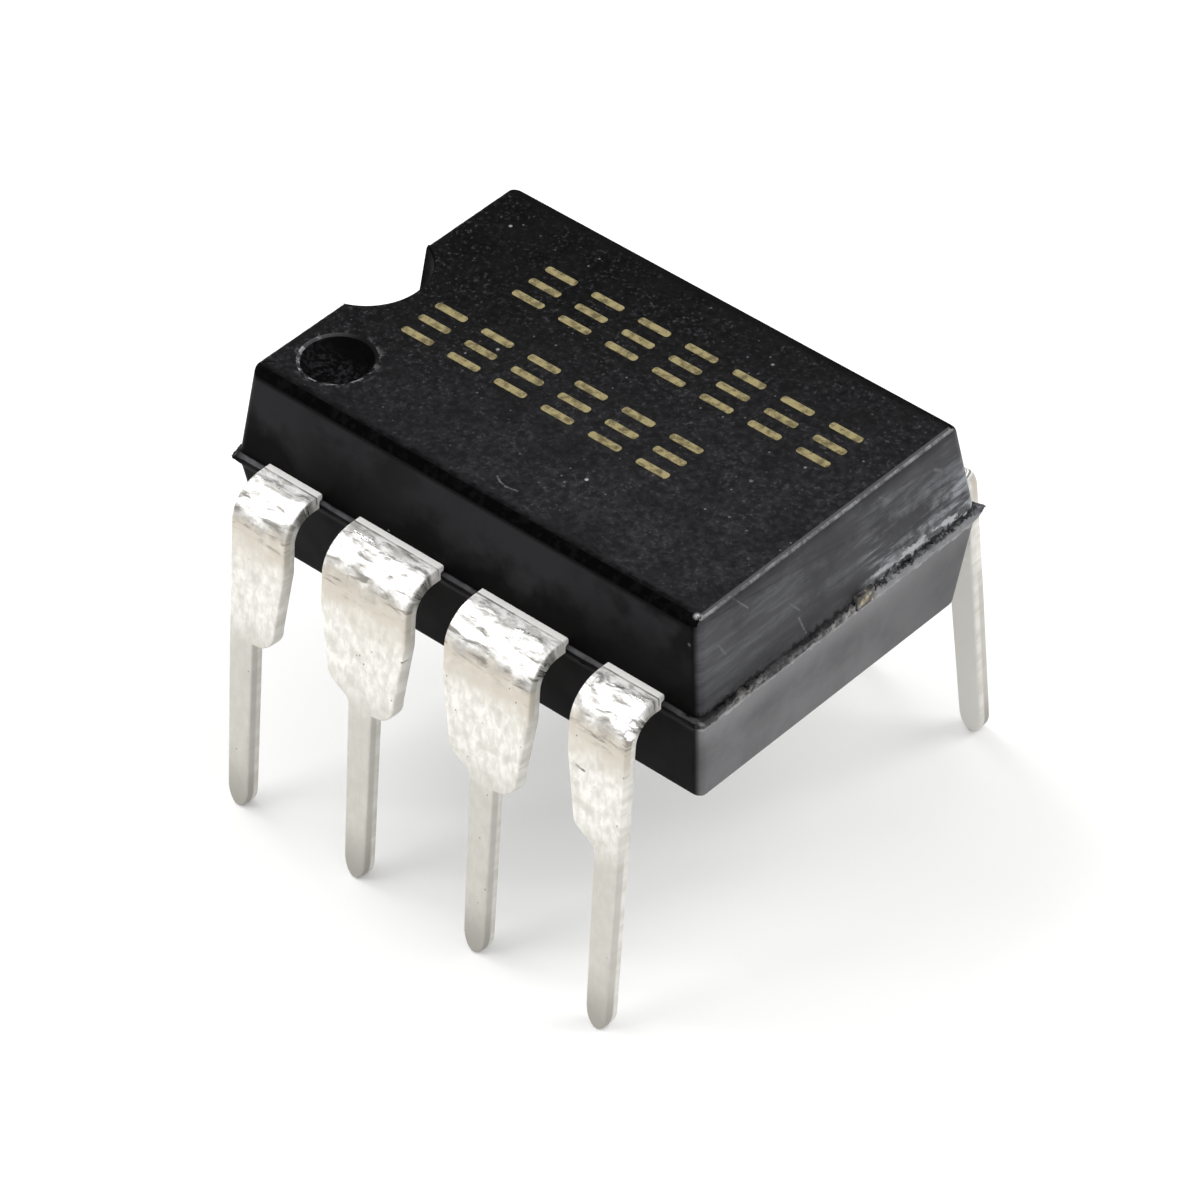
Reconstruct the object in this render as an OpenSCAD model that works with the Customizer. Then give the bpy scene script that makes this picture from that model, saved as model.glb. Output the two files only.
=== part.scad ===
// Eight-pin dual in-line package: a moulded body in two drafted halves round a stamped lead frame,
// with the die, its paddle and the bond wires inside. Millimetres, +Z up.
// The origin is under the middle of the body, on the plane that the lead tips stand on.
// Leads 1 to 4 run along the front (-Y) from the notched end (-X), leads 5 to 8 back along the rear.

/* [Body] */
// Length of the body at the parting line
body_len = 9.55; // [9:0.05:10.2]
// Width of the body at the parting line
body_wid = 6.45; // [6.1:0.05:6.6]
// Height of the upper half above the parting line
upper_h = 1.8; // [1.6:0.05:2]
// Depth of the lower half below the parting line
lower_h = 1.75; // [1.4:0.05:1.9]
// Draft angle of the sides and ends
draft = 7.5; // [5:0.5:10]
// Radius of the upright corners
corner_r = 0.16; // [0.14:0.01:0.4]
// Radius of the edges round the top and the underside
edge_r = 0.12; // [0.04:0.01:0.13]
// How far the mould flash stands out at the parting line
flash_out = 0.05; // [0.02:0.01:0.12]
// Thickness of the mould flash
flash_t = 0.15; // [0.05:0.01:0.2]

/* [Notch and marks] */
// Radius of the notch at the top face, in the end nearest lead 1
notch_r = 1; // [0.8:0.05:1.2]
// How far the centre of the notch lies outside the end
notch_out = 0.1; // [0:0.05:0.3]
// Height of the notch floor above the parting line
notch_floor = 0.5; // [0.4:0.05:1]
// Diameter of the lead 1 dimple at the top face
dimple_d = 1.2; // [0.8:0.05:1.3]
// Diameter of the dimple floor
dimple_floor_d = 0.9; // [0.5:0.05:0.95]
// Depth of the dimple
dimple_depth = 0.2; // [0.1:0.05:0.3]
// Distance of the dimple centre from the notched end at the parting line
dimple_from_end = 1.12; // [1.05:0.01:1.4]
// Distance of the dimple centre from the front side at the parting line
dimple_from_side = 1.22; // [1.1:0.01:1.35]
// Diameter of the ejector pin marks on the underside
ejector_d = 1.5; // [1:0.1:2]
// Depth of the ejector pin marks
ejector_depth = 0.06; // [0.03:0.01:0.1]
// Distance between the two ejector pin marks
ejector_gap = 5; // [4:0.25:6]

/* [Leads] */
// Distance from one lead to the next
pin_pitch = 2.54; // [2.5:0.01:2.6]
// Thickness of the lead frame
lead_t = 0.25; // [0.2:0.01:0.3]
// Width of a full lead where it leaves the body
wide_w = 1.76; // [1.4:0.02:1.9]
// Width of a full lead at its shoulders
shoulder_w = 1.4; // [1.1:0.02:1.7]
// Width of the blade that enters the board
blade_w = 0.5; // [0.4:0.02:0.56]
// Width of the blade where its point begins
tip_w = 0.44; // [0.36:0.02:0.5]
// Length of the blade below the shoulders
blade_len = 3.32; // [3:0.02:3.8]
// Drop from the middle of the lead frame to the shoulders
seat_drop = 2.6; // [2.4:0.02:3.2]
// Drop from the middle of the lead frame to where a lead begins to taper
taper_drop = 1; // [0.8:0.05:1.5]
// Radius of the rounded shoulder
shoulder_r = 0.4; // [0.15:0.05:0.45]
// Angle of the sloping shoulder from the upright
slope_angle = 60; // [45:5:75]
// Radius at each end of the sloping shoulder
slope_r = 0.15; // [0.05:0.05:0.2]
// Length of the rounded point of the blade
tip_len = 0.38; // [0.2:0.02:0.6]
// Flat length of a lead between the body and its bend
stub = 0.2; // [0.18:0.01:0.4]
// Inner radius of the bend
bend_r = 0.4; // [0.3:0.05:0.5]
// Outward lean of the leads
splay = 5.5; // [0:0.5:8]

/* [Lead frame inside the body] */
// Length of the die paddle along the body
paddle_len = 3; // [2.4:0.1:3.2]
// Width of the die paddle across the body
paddle_wid = 2.2; // [1.8:0.1:2.4]
// How far the paddle lies below the leads
downset = 0.3; // [0.26:0.02:0.5]
// Gap between the paddle and the ends of the leads
paddle_gap = 0.3; // [0.2:0.05:0.4]
// Width of a full lead's inner end
finger_w = 0.8; // [0.5:0.05:1]
// Width of an end lead's inner end
end_finger_w = 0.4; // [0.3:0.05:0.5]
// Straight length of a lead inside the body before it narrows
neck = 0.45; // [0.3:0.05:0.6]
// Diameter of the hole that locks a lead in the moulding
lock_d = 0.5; // [0.3:0.05:0.6]
// Distance of the locking hole from the side of the body
lock_in = 0.5; // [0.4:0.05:0.6]
// Width of the tie bars that carry the paddle
tie_w = 0.4; // [0.3:0.05:0.5]
// Sideways offset of each tie bar from the middle of the body
tie_off = 0.5; // [0.3:0.05:0.6]

/* [Die and bond wires] */
// Length of the die
die_len = 1.6; // [1.2:0.1:2]
// Width of the die
die_wid = 1.3; // [1:0.1:1.6]
// Thickness of the die
die_t = 0.25; // [0.2:0.01:0.3]
// Thickness of the solder film under the die
attach_t = 0.025; // [0.02:0.005:0.04]
// How far the solder film spreads beyond the die
attach_out = 0.06; // [0.02:0.02:0.1]
// Distance of the bond pads from the edge of the die
pad_in = 0.12; // [0.1:0.01:0.2]
// Diameter of the gold bond wire
wire_d = 0.025; // [0.025:0.005:0.05]
// Height of the wire loops above the leads
loop_h = 0.32; // [0.2:0.02:0.5]
// Diameter of the ball where a wire meets the die
ball_d = 0.08; // [0.06:0.01:0.1]
// Thickness of the ball and of the stitch at the other end
ball_t = 0.02; // [0.015:0.005:0.03]
// Distance of the stitch from the inner end of the lead
stitch_in = 0.15; // [0.1:0.01:0.2]

/* [Hidden] */
resin = "#262629";
tinned = "#d3d0c9";
bare_alloy = "#b9a27c";
solder = "#8f9298";
silicon = "#59606e";
gold = "#d6ab3c";
curve = $preview ? 32 : 48;       // facets of a full circle
corner_curve = 32;                // facets of a circle in the hulls
arc_steps = 8;                    // steps of an outline's arc
wire_sides = 8;
wire_rings = 14;
film = 0.01;                      // thickness of the flat foot that a hull starts from
over = 0.05;                      // how far a cutter runs past a face

side_leads = 4;                                      // leads along one side
lead_z = blade_len + seat_drop;                      // middle of the lead frame above the lead tips
lead_low = lead_z - lead_t / 2;                      // underside of the lead frame
lead_top = lead_z + lead_t / 2;
parting_z = lead_low;                                // the mould halves meet at the underside of the frame
body_top = parting_z + upper_h;
body_low = parting_z - lower_h;
wall_y = body_wid / 2;
seat_z = blade_len;                                  // the shoulders sit on the board here
shelf = (shoulder_w - blade_w) / 2;                  // width of a shoulder on one side of the blade
paddle_top = lead_top - downset;
die_low = paddle_top + attach_t;
die_top = die_low + die_t;
finger_y = paddle_wid / 2 + paddle_gap;              // inner end of a full lead
finger_x = paddle_len / 2 + paddle_gap;              // inner end of an end lead
end_y = paddle_wid / 2 + end_finger_w / 2;           // outer side of an end lead's inner end

// Middle of a front lead along the body, for leads 1 to 4
function lead_x(i) = (i - (side_leads + 1) / 2) * pin_pitch;

// Points of an arc about a centre, from one angle to another
function arc(centre, r, from, to) =
    [for (k = [0 : arc_steps])
        let (a = from + (to - from) * k / arc_steps)
        [centre[0] + r * cos(a), centre[1] + r * sin(a)]];

// The blade's rounded point, half an ellipse from its left edge round to its right
function blade_point() =
    [for (k = [0 : 2 * arc_steps])
        let (a = 180 + 90 * k / arc_steps)
        [tip_w / 2 * cos(a), tip_len + tip_len * sin(a)]];

// The sloping shoulder, from the lead's left edge round two arcs to the blade's
function slope() =
    let (r = min(slope_r, shelf), run = shelf - 2 * r * (1 - cos(slope_angle)),
         rise = 2 * r * sin(slope_angle) + run / tan(slope_angle))
    concat(arc([-shoulder_w / 2 + r, seat_z + rise], r, 180, 180 + slope_angle),
           arc([-blade_w / 2 - r, seat_z], r, slope_angle, 0));

// The rounded shoulder, from the blade's right edge to the lead's
function rounded() =
    let (r = min(shoulder_r, shelf))
    concat([[blade_w / 2, seat_z]], arc([shoulder_w / 2 - r, seat_z + r], r, -90, 0));

// Outline of a lead seen from the front, about its middle, up to a given height.
// An end lead has no shoulder on its outer side: the blade's edge runs straight up.
function left_side(shoulder, top) =
    shoulder
    ? concat([[-wide_w / 2, top], [-wide_w / 2, lead_z - taper_drop]], slope())
    : [[-blade_w / 2, top], [-blade_w / 2, seat_z]];

function right_side(shoulder, top) =
    shoulder
    ? concat(rounded(), [[wide_w / 2, lead_z - taper_drop], [wide_w / 2, top]])
    : [[blade_w / 2, seat_z], [blade_w / 2, top]];

function lead_outline(i, top) =
    concat(left_side(i > 1, top), blade_point(), right_side(i < side_leads, top));

// Edges of a front lead where it leaves the body
function left_edge(i) = lead_x(i) - (i > 1 ? wide_w : blade_w) / 2;
function right_edge(i) = lead_x(i) + (i < side_leads ? wide_w : blade_w) / 2;

// Outline of the flat part of a front lead seen from above, from the bend to its inner end.
// The middle leads run straight in; the end leads slant to the corner of the paddle.
function middle_flat(i) =
    let (out = -(wall_y + stub), bend_in = -(wall_y - neck), x = lead_x(i))
    [[left_edge(i), out], [right_edge(i), out], [right_edge(i), bend_in],
     [x + finger_w / 2, -finger_y], [x - finger_w / 2, -finger_y], [left_edge(i), bend_in]];

function end_flat() =
    let (out = -(wall_y + stub), bend_in = -(wall_y - neck), x = finger_x)
    [[left_edge(1), out], [right_edge(1), out], [right_edge(1), bend_in],
     [-x, -end_y - end_finger_w / 2], [-x, -end_y + end_finger_w / 2],
     [-x - end_finger_w, -end_y + end_finger_w / 2], [left_edge(1), bend_in]];

// Where a wire is stitched to a front lead, and its pad on the die
function stitch_at(i) =
    i > 1 && i < side_leads
    ? [lead_x(i), -finger_y - stitch_in, lead_top]
    : [(i == 1 ? -1 : 1) * (finger_x + stitch_in), -end_y, lead_top];

function pad_at(i) =
    let (span = die_len - 2 * pad_in)
    [-span / 2 + span * (i - 1) / (side_leads - 1), -die_wid / 2 + pad_in, die_top];

// One half of the body, from the parting line up
module body_half(h) {
    lean = (h - edge_r) * tan(draft) + edge_r / cos(draft) - edge_r;
    hull()
        for (sx = [-1, 1], sy = [-1, 1]) {
            translate([sx * (body_len / 2 - corner_r), sy * (body_wid / 2 - corner_r), 0])
                cylinder(r = corner_r, h = film, $fn = corner_curve);
            translate([sx * (body_len / 2 - corner_r - lean), sy * (body_wid / 2 - corner_r - lean), h - edge_r])
                rotate_extrude($fn = corner_curve)
                    corner_section();
        }
}

// Section of a rounded corner disc: a square with a round outer edge
module corner_section() {
    square([corner_r - edge_r, edge_r]);
    intersection() {
        translate([corner_r - edge_r, 0])
            circle(r = edge_r, $fn = corner_curve);
        square([corner_r, edge_r]);
    }
}

module flash() {
    translate([-body_len / 2 - flash_out, -body_wid / 2 - flash_out, parting_z])
        cube([body_len + 2 * flash_out, body_wid + 2 * flash_out, flash_t]);
}

// The notch narrows downwards with the draft of the mould
module notch_cut() {
    depth = upper_h - notch_floor;
    translate([-body_len / 2 - notch_out, 0, parting_z + notch_floor])
        cylinder(r1 = notch_r - depth * tan(draft), r2 = notch_r + over * tan(draft), h = depth + over, $fn = curve);
}

module dimple_cut() {
    slope = (dimple_d - dimple_floor_d) / dimple_depth;
    translate([-body_len / 2 + dimple_from_end, -body_wid / 2 + dimple_from_side, body_top - dimple_depth])
        cylinder(d1 = dimple_floor_d, d2 = dimple_d + slope * over, h = dimple_depth + over, $fn = curve);
}

module ejector_cuts() {
    for (side = [-1, 1])
        translate([side * ejector_gap / 2, 0, body_low - over])
            cylinder(d = ejector_d, h = ejector_depth + over, $fn = curve);
}

// Turns a front lead's piece round to the rear for leads 5 to 8
module on_side(n) {
    rotate([0, 0, n > side_leads ? 180 : 0])
        children();
}

function front_index(n) = n > side_leads ? n - side_leads : n;

// Flat part of a front lead with its locking hole
module lead_flat(i) {
    end_lead = i == 1 || i == side_leads;
    middle = (left_edge(i) + right_edge(i)) / 2;
    translate([0, 0, lead_low])
        linear_extrude(height = lead_t)
            difference() {
                if (end_lead)
                    mirror([i == 1 ? 0 : 1, 0])
                        polygon(end_flat());
                else
                    polygon(middle_flat(i));
                translate([middle, -wall_y + lock_in])
                    circle(d = lock_d, $fn = curve);
            }
}

// Side view of the bend and the leg: distance out from the bend's centre, and height about it
module leg_section() {
    far = bend_r + lead_t + over;
    intersection() {
        difference() {
            circle(r = bend_r + lead_t, $fn = curve);
            circle(r = bend_r, $fn = curve);
        }
        polygon([[0, 0], [far * cos(splay), far * sin(splay)], [far, far], [0, far]]);
    }
    rotate(splay)
        translate([bend_r, -lead_z])
            square([lead_t, lead_z]);
}

// Bend and leg of a front lead: the side view cut to the front outline
module lead_leg(i) {
    bend_y = wall_y + stub;
    reach = bend_y + bend_r + lead_t + lead_z * sin(splay) + over;
    intersection() {
        translate([lead_x(i), -bend_y, lead_low - bend_r])
            rotate([90, 0, -90])
                linear_extrude(height = wide_w + 2 * over, center = true)
                    leg_section();
        translate([lead_x(i), 0, 0])
            rotate([90, 0, 0])
                linear_extrude(height = reach)
                    polygon(lead_outline(i, lead_top + over));
    }
}

module lead(n) {
    color(tinned)
        on_side(n) {
            lead_flat(front_index(n));
            lead_leg(front_index(n));
        }
}

// Side view of a tie bar: level with the leads at the end face, stepping down to the paddle
module tie_section() {
    start = paddle_len / 2;
    step = 2 * downset;
    end = body_len / 2 + flash_out;
    polygon([[start - over, paddle_top - lead_t], [start, paddle_top - lead_t], [start + step, lead_low],
             [end, lead_low], [end, lead_top], [start + step, lead_top],
             [start, paddle_top], [start - over, paddle_top]]);
}

module die_paddle() {
    color(bare_alloy) {
        translate([-paddle_len / 2, -paddle_wid / 2, paddle_top - lead_t])
            cube([paddle_len, paddle_wid, lead_t]);
        for (turn = [0, 180])
            rotate([0, 0, turn])
                translate([0, tie_off + tie_w / 2, 0])
                    rotate([90, 0, 0])
                        linear_extrude(height = tie_w)
                            tie_section();
    }
}

module die_attach() {
    color(solder)
        translate([-die_len / 2 - attach_out, -die_wid / 2 - attach_out, paddle_top])
            cube([die_len + 2 * attach_out, die_wid + 2 * attach_out, attach_t]);
}

module silicon_die() {
    color(silicon)
        translate([-die_len / 2, -die_wid / 2, die_low])
            cube([die_len, die_wid, die_t]);
}

// A wire arches from its pad to its stitch, upright at both ends, as half an ellipse
function wire_point(from, to, s) = from + (to - from) * (1 - cos(180 * s)) / 2 + [0, 0, loop_h * sin(180 * s)];
function wire_slope(from, to, s) = (to - from) * sin(180 * s) / 2 + [0, 0, loop_h * cos(180 * s)];

function wire_ring(from, to, s) =
    let (along = wire_slope(from, to, s), t = along / norm(along),
         flat = [to[0] - from[0], to[1] - from[1], 0], side = cross([0, 0, 1], flat) / norm(flat),
         up = cross(t, side), p = wire_point(from, to, s))
    [for (k = [0 : wire_sides - 1])
        let (a = 360 * k / wire_sides)
        p + wire_d / 2 * (cos(a) * side + sin(a) * up)];

module front_wire(i) {
    from = pad_at(i);
    to = stitch_at(i);
    rings = [for (k = [0 : wire_rings]) each wire_ring(from, to, k / wire_rings)];
    last = wire_rings * wire_sides;
    walls = [for (k = [0 : wire_rings - 1], j = [0 : wire_sides - 1])
        let (a = k * wire_sides + j, b = k * wire_sides + (j + 1) % wire_sides)
        [a, a + wire_sides, b + wire_sides, b]];
    foot = [for (j = [0 : wire_sides - 1]) j];
    head = [for (j = [wire_sides - 1 : -1 : 0]) last + j];
    polyhedron(points = rings, faces = concat([foot], walls, [head]), convexity = 4);
    translate(from)
        cylinder(d = ball_d, h = ball_t, $fn = curve);
    translate(to)
        cylinder(d = ball_d * 0.8, h = ball_t, $fn = curve);
}

module bond_wire(n) {
    color(gold)
        on_side(n)
            front_wire(front_index(n));
}

// The resin, with everything that it was moulded round taken out of it
module moulded_body() {
    color(resin)
        difference() {
            union() {
                translate([0, 0, parting_z])
                    body_half(upper_h);
                translate([0, 0, parting_z])
                    mirror([0, 0, 1])
                        body_half(lower_h);
                flash();
            }
            notch_cut();
            dimple_cut();
            ejector_cuts();
            for (n = [1 : 2 * side_leads])
                on_side(n)
                    lead_flat(front_index(n));
            die_paddle();
            die_attach();
            silicon_die();
            for (n = [1 : 2 * side_leads])
                bond_wire(n);
        }
}

moulded_body();
lead(1);  // lead_1
lead(2);  // lead_2
lead(3);  // lead_3
lead(4);  // lead_4
lead(5);  // lead_5
lead(6);  // lead_6
lead(7);  // lead_7
lead(8);  // lead_8
die_paddle();
die_attach();
silicon_die();
bond_wire(1);  // bond_wire_1
bond_wire(2);  // bond_wire_2
bond_wire(3);  // bond_wire_3
bond_wire(4);  // bond_wire_4
bond_wire(5);  // bond_wire_5
bond_wire(6);  // bond_wire_6
bond_wire(7);  // bond_wire_7
bond_wire(8);  // bond_wire_8
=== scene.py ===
# %% [markdown]
# # An eight-lead chip package, from frame to finish
# A dual in-line package is a block of black moulding compound round a stamped lead frame. The packed
# model gives every piece its place and size. This script keeps the pieces that nobody sees as they are,
# and models the ones that show again with more detail: the moulding with its worn edges and flash,
# and the eight tinned leads with their crinkled bends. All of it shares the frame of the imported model.

# %% Load the frame
import math

import bmesh
import bpy
from mathutils import Matrix, Vector, noise


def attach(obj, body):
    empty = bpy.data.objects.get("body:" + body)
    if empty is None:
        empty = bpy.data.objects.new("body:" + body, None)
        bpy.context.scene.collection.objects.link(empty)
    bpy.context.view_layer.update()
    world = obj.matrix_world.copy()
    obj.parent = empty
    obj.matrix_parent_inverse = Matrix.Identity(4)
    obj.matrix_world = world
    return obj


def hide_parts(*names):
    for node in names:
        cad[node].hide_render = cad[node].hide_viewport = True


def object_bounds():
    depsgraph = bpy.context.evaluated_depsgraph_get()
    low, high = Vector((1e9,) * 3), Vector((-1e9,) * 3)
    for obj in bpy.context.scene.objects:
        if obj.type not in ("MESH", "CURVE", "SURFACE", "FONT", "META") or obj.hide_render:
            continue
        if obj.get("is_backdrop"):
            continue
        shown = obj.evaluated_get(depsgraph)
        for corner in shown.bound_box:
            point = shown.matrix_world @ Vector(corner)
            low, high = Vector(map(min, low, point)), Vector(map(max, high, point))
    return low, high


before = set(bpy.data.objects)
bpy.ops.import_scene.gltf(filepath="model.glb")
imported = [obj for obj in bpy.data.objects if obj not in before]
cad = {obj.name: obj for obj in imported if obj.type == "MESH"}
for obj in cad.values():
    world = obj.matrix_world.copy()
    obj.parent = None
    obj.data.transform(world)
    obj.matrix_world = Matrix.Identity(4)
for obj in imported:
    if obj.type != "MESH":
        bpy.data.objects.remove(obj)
cad_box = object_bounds()
print("packed nodes:", len(cad))

# %% [markdown]
# ## Working size
# The real thing is smaller than a fingernail. Many mesh tools have limits made for things of a metre, so
# each new piece is modelled with one unit for a millimetre, and is scaled down to metres when it is done.
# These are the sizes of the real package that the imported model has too, in millimetres.

# %% Sizes in millimetres
MM = 0.001
LEAD_Z = 5.92                       # middle of the lead frame above the lead tips
LEAD_T = 0.25
PARTING_Z = LEAD_Z - LEAD_T / 2     # where the two halves of the mould meet
UPPER_H = 1.8                       # height of the half above the parting line, and of the half below
LOWER_H = 1.75
BODY_TOP = PARTING_Z + UPPER_H
BODY_LOW = PARTING_Z - LOWER_H
BODY_LEN = 9.55
BODY_WID = 6.45
DRAFT = math.tan(math.radians(7.5))
WALL_Y = BODY_WID / 2
PITCH = 2.54
SAME_POINT = 0.0001                 # points closer than this count as one
ALONG = Vector((1, 0, 0))
ACROSS = Vector((0, 1, 0))
UP = Vector((0, 0, 1))

# %% [markdown]
# ## Small helpers
# Edit mode tools act on all that is selected, so each piece starts from nothing selected. Two helpers
# choose faces and edges by a rule in code, and one brings a finished piece down to metres.

# %% Helpers for modelling
def start_clean():
    if bpy.context.object and bpy.context.object.mode != "OBJECT":
        bpy.ops.object.mode_set(mode="OBJECT")
    bpy.ops.object.select_all(action="DESELECT")


def make_active(obj):
    start_clean()
    obj.select_set(True)
    bpy.context.view_layer.objects.active = obj


def select_edges(rule):
    """Selects the edges of the mesh in edit mode that the rule is true for."""
    bpy.ops.mesh.select_mode(type="EDGE")
    bpy.ops.mesh.select_all(action="DESELECT")
    mesh = bpy.context.object.data
    bm = bmesh.from_edit_mesh(mesh)
    chosen = [edge for edge in bm.edges if rule(edge)]
    for edge in chosen:
        edge.select_set(True)
    bmesh.update_edit_mesh(mesh)
    return len(chosen)


def select_faces(rule):
    """Selects the faces of the mesh in edit mode that the rule is true for."""
    bpy.ops.mesh.select_mode(type="FACE")
    bpy.ops.mesh.select_all(action="DESELECT")
    mesh = bpy.context.object.data
    bm = bmesh.from_edit_mesh(mesh)
    chosen = [face for face in bm.faces if rule(face)]
    for face in chosen:
        face.select_set(True)
    bmesh.update_edit_mesh(mesh)
    return len(chosen)


def cut_out(obj, cutter):
    """Takes the cutter's shape out of obj, and removes the cutter."""
    make_active(obj)
    bpy.ops.object.modifier_add(type="BOOLEAN")
    tool = obj.modifiers[-1]
    tool.operation = "DIFFERENCE"
    tool.solver = "EXACT"
    tool.object = cutter
    finish_modifier(obj)
    bpy.data.objects.remove(cutter)


def slice_faces(rule, across, steps, spacing):
    """Cuts the chosen faces with flat planes that stand across a direction, so far apart."""
    for step in steps:
        select_faces(rule)
        bpy.ops.mesh.bisect(plane_co=across * step * spacing, plane_no=across, threshold=SAME_POINT)


def finish_modifier(obj):
    """Applies the last modifier of obj."""
    bpy.ops.object.modifier_apply(modifier=obj.modifiers[-1].name)


def to_metres(obj):
    make_active(obj)
    obj.scale = (MM, MM, MM)
    obj.location = obj.location * MM
    bpy.ops.object.transform_apply(location=True, rotation=True, scale=True)


def report(obj):
    triangles = sum(len(face.vertices) - 2 for face in obj.data.polygons)
    print(obj.name, "triangles:", triangles)


# %% [markdown]
# ## Camera
# The photograph was taken from above the front right corner with a long lens. The place of the camera
# comes from fitting the corners of the body and the spacing of the leads, which is known exactly.

# %% Camera
AZIMUTH = math.radians(42.84)
ELEVATION = math.radians(41.18182)
ROLL = math.radians(-1.28041)
DISTANCE = 103.52156 * MM
FOCAL_PIXELS = 6753.57
FRAME_PIXELS = 1200
SENSOR = 36           # width of the sensor in millimetres
AIM_ALONG = -0.11385 * MM
AIM_UP = -1.84597 * MM

back = Vector((
    math.sin(AZIMUTH) * math.cos(ELEVATION),
    -math.cos(AZIMUTH) * math.cos(ELEVATION),
    math.sin(ELEVATION),
))
level = Vector((math.cos(AZIMUTH), math.sin(AZIMUTH), 0))
upright = back.cross(level)
right = level * math.cos(ROLL) + upright * math.sin(ROLL)
up = upright * math.cos(ROLL) - level * math.sin(ROLL)
target = level * AIM_ALONG + upright * AIM_UP + Vector((0, 0, LEAD_Z * MM))
eye = target + back * DISTANCE

lens_data = bpy.data.cameras.new("camera")
lens_data.sensor_width = SENSOR
lens_data.lens = SENSOR * FOCAL_PIXELS / FRAME_PIXELS
lens_data.clip_start = 0.001
lens_data.clip_end = 10
camera = bpy.data.objects.new("camera", lens_data)
bpy.context.scene.collection.objects.link(camera)
turn = Matrix((right, up, back)).transposed().to_4x4()
camera.matrix_world = Matrix.Translation(eye) @ turn
bpy.context.scene.camera = camera
print("camera at", [round(value / MM, 2) for value in eye], "mm")

# %% [markdown]
# ## Colours and nodes
# Colours are written as the hex values one reads from a picture, which hold sRGB. Shaders want linear
# light, so one function turns them. One more adds a node with its settings and its links in one go.

# %% Helpers for materials
def tint(hex_value):
    """Linear colour of an sRGB hex value such as #d8d6cf."""
    parts = [int(hex_value[k:k + 2], 16) / 255 for k in (1, 3, 5)]
    linear = [c / 12.92 if c <= 0.04045 else ((c + 0.055) / 1.055) ** 2.4 for c in parts]
    return (*linear, 1)


def add(tree, kind, inputs=None, **settings):
    """Adds a node. An input is a value, a hex colour, or another node's output to link from."""
    made = tree.nodes.new(kind)
    for name, value in settings.items():
        setattr(made, name, value)
    for name, value in (inputs or {}).items():
        if isinstance(value, bpy.types.NodeSocket):
            tree.links.new(value, made.inputs[name])
        else:
            made.inputs[name].default_value = tint(value) if isinstance(value, str) else value
    return made


def new_finish(name, **constants):
    """A new material with a plain shader. Constants are the same all over its surface."""
    made = bpy.data.materials.new(name)
    made.use_nodes = True
    tree = made.node_tree
    shader = tree.nodes["Principled BSDF"]
    for socket, value in constants.items():
        shader.inputs[socket.replace("_", " ")].default_value = value
    return made, tree, shader


# %% [markdown]
# A finish is painted in layers, as a model maker does it: a ground colour, then one colour after another
# where it belongs. A place is described by limits, such as a height from 5.8 to 5.9 mm or the lighter
# patches of a random pattern, and a layer lies where all its limits hold.

# %% Helpers for painting in layers
def millimetres(tree, stretch=(1, 1, 1)):
    """Object coordinates in millimetres, stretched for a pattern."""
    place = add(tree, "ShaderNodeTexCoord").outputs["Object"]
    real = add(tree, "ShaderNodeMapping", {"Vector": place, "Scale": (1 / MM, 1 / MM, 1 / MM)}).outputs[0]
    return add(tree, "ShaderNodeMapping", {"Vector": real, "Scale": stretch}).outputs[0]


def position(tree):
    """Where a point is on the object, in millimetres: x, y and z."""
    return add(tree, "ShaderNodeSeparateXYZ", {"Vector": millimetres(tree)}).outputs


def patches(tree, per_mm, detail=4.0, roughness=0.6, on=None, **more):
    """Soft random patches, so many to a millimetre of the object or of the map that they lie on."""
    return add(tree, "ShaderNodeTexNoise", {
        "Vector": millimetres(tree) if on is None else on,
        "Scale": per_mm, "Detail": detail, "Roughness": roughness, **more,
    }).outputs["Fac"]


def where(tree, *limits):
    """How much a place belongs to a patch, from 0 to 1: the product of its limits.

    A limit is a share, or a pattern with the values at which it has no effect and its full effect, and
    is smooth between them. Two more numbers stand for no effect and full effect.
    """
    product = None
    for limit in limits:
        if isinstance(limit, tuple):
            inputs = dict(zip(("Value", "From Min", "From Max", "To Min", "To Max"), limit))
            limit = add(tree, "ShaderNodeMapRange", inputs, interpolation_type="SMOOTHSTEP").outputs[0]
        if product is None:
            product = limit
        else:
            factors = {0: product, 1: limit}
            product = add(tree, "ShaderNodeMath", factors, operation="MULTIPLY").outputs[0]
    return product


def layer(tree, ground, colour, *limits):
    """Lays a colour over the ground where all the limits hold."""
    blend = {0: where(tree, *limits), 6: ground, 7: colour}
    return add(tree, "ShaderNodeMix", blend, data_type="RGBA").outputs[2]


def dress(tree, shader, colour, relief, strength, depth, rough=None):
    """Links the colour, a fine relief so many millimetres deep, and the roughness where it varies."""
    tree.links.new(colour, shader.inputs["Base Color"])
    bump = add(tree, "ShaderNodeBump", {"Height": relief, "Strength": strength, "Distance": depth * MM})
    tree.links.new(bump.outputs[0], shader.inputs["Normal"])
    if rough is not None:
        tree.links.new(where(tree, rough), shader.inputs["Roughness"])


# %% [markdown]
# ## Moulding compound
# Epoxy filled with fine silica, pressed in a hard steel mould. The top of the mould is spark-eroded, so
# the top of the body is an even matte grain with a few light specks of dust. The sides come from
# smoother steel and look darker and plainer. The ends were rubbed against others in the tube that
# chips are sold in, so they are hazy and scratched, and are painted greyer, as wear and as a painted sheen.

# %% Specks and scratches
def dust(tree, per_mm, size, share):
    """Light specks: 1 at the middle of some of the cells of a random pattern, 0 elsewhere."""
    cells = add(tree, "ShaderNodeTexVoronoi", {"Vector": millimetres(tree), "Scale": per_mm})
    picked = add(tree, "ShaderNodeSeparateColor", {"Color": cells.outputs["Color"]})
    return where(tree, (cells.outputs["Distance"], size, size * 0.4), (picked.outputs[0], 1 - share, 1.0))


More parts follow.
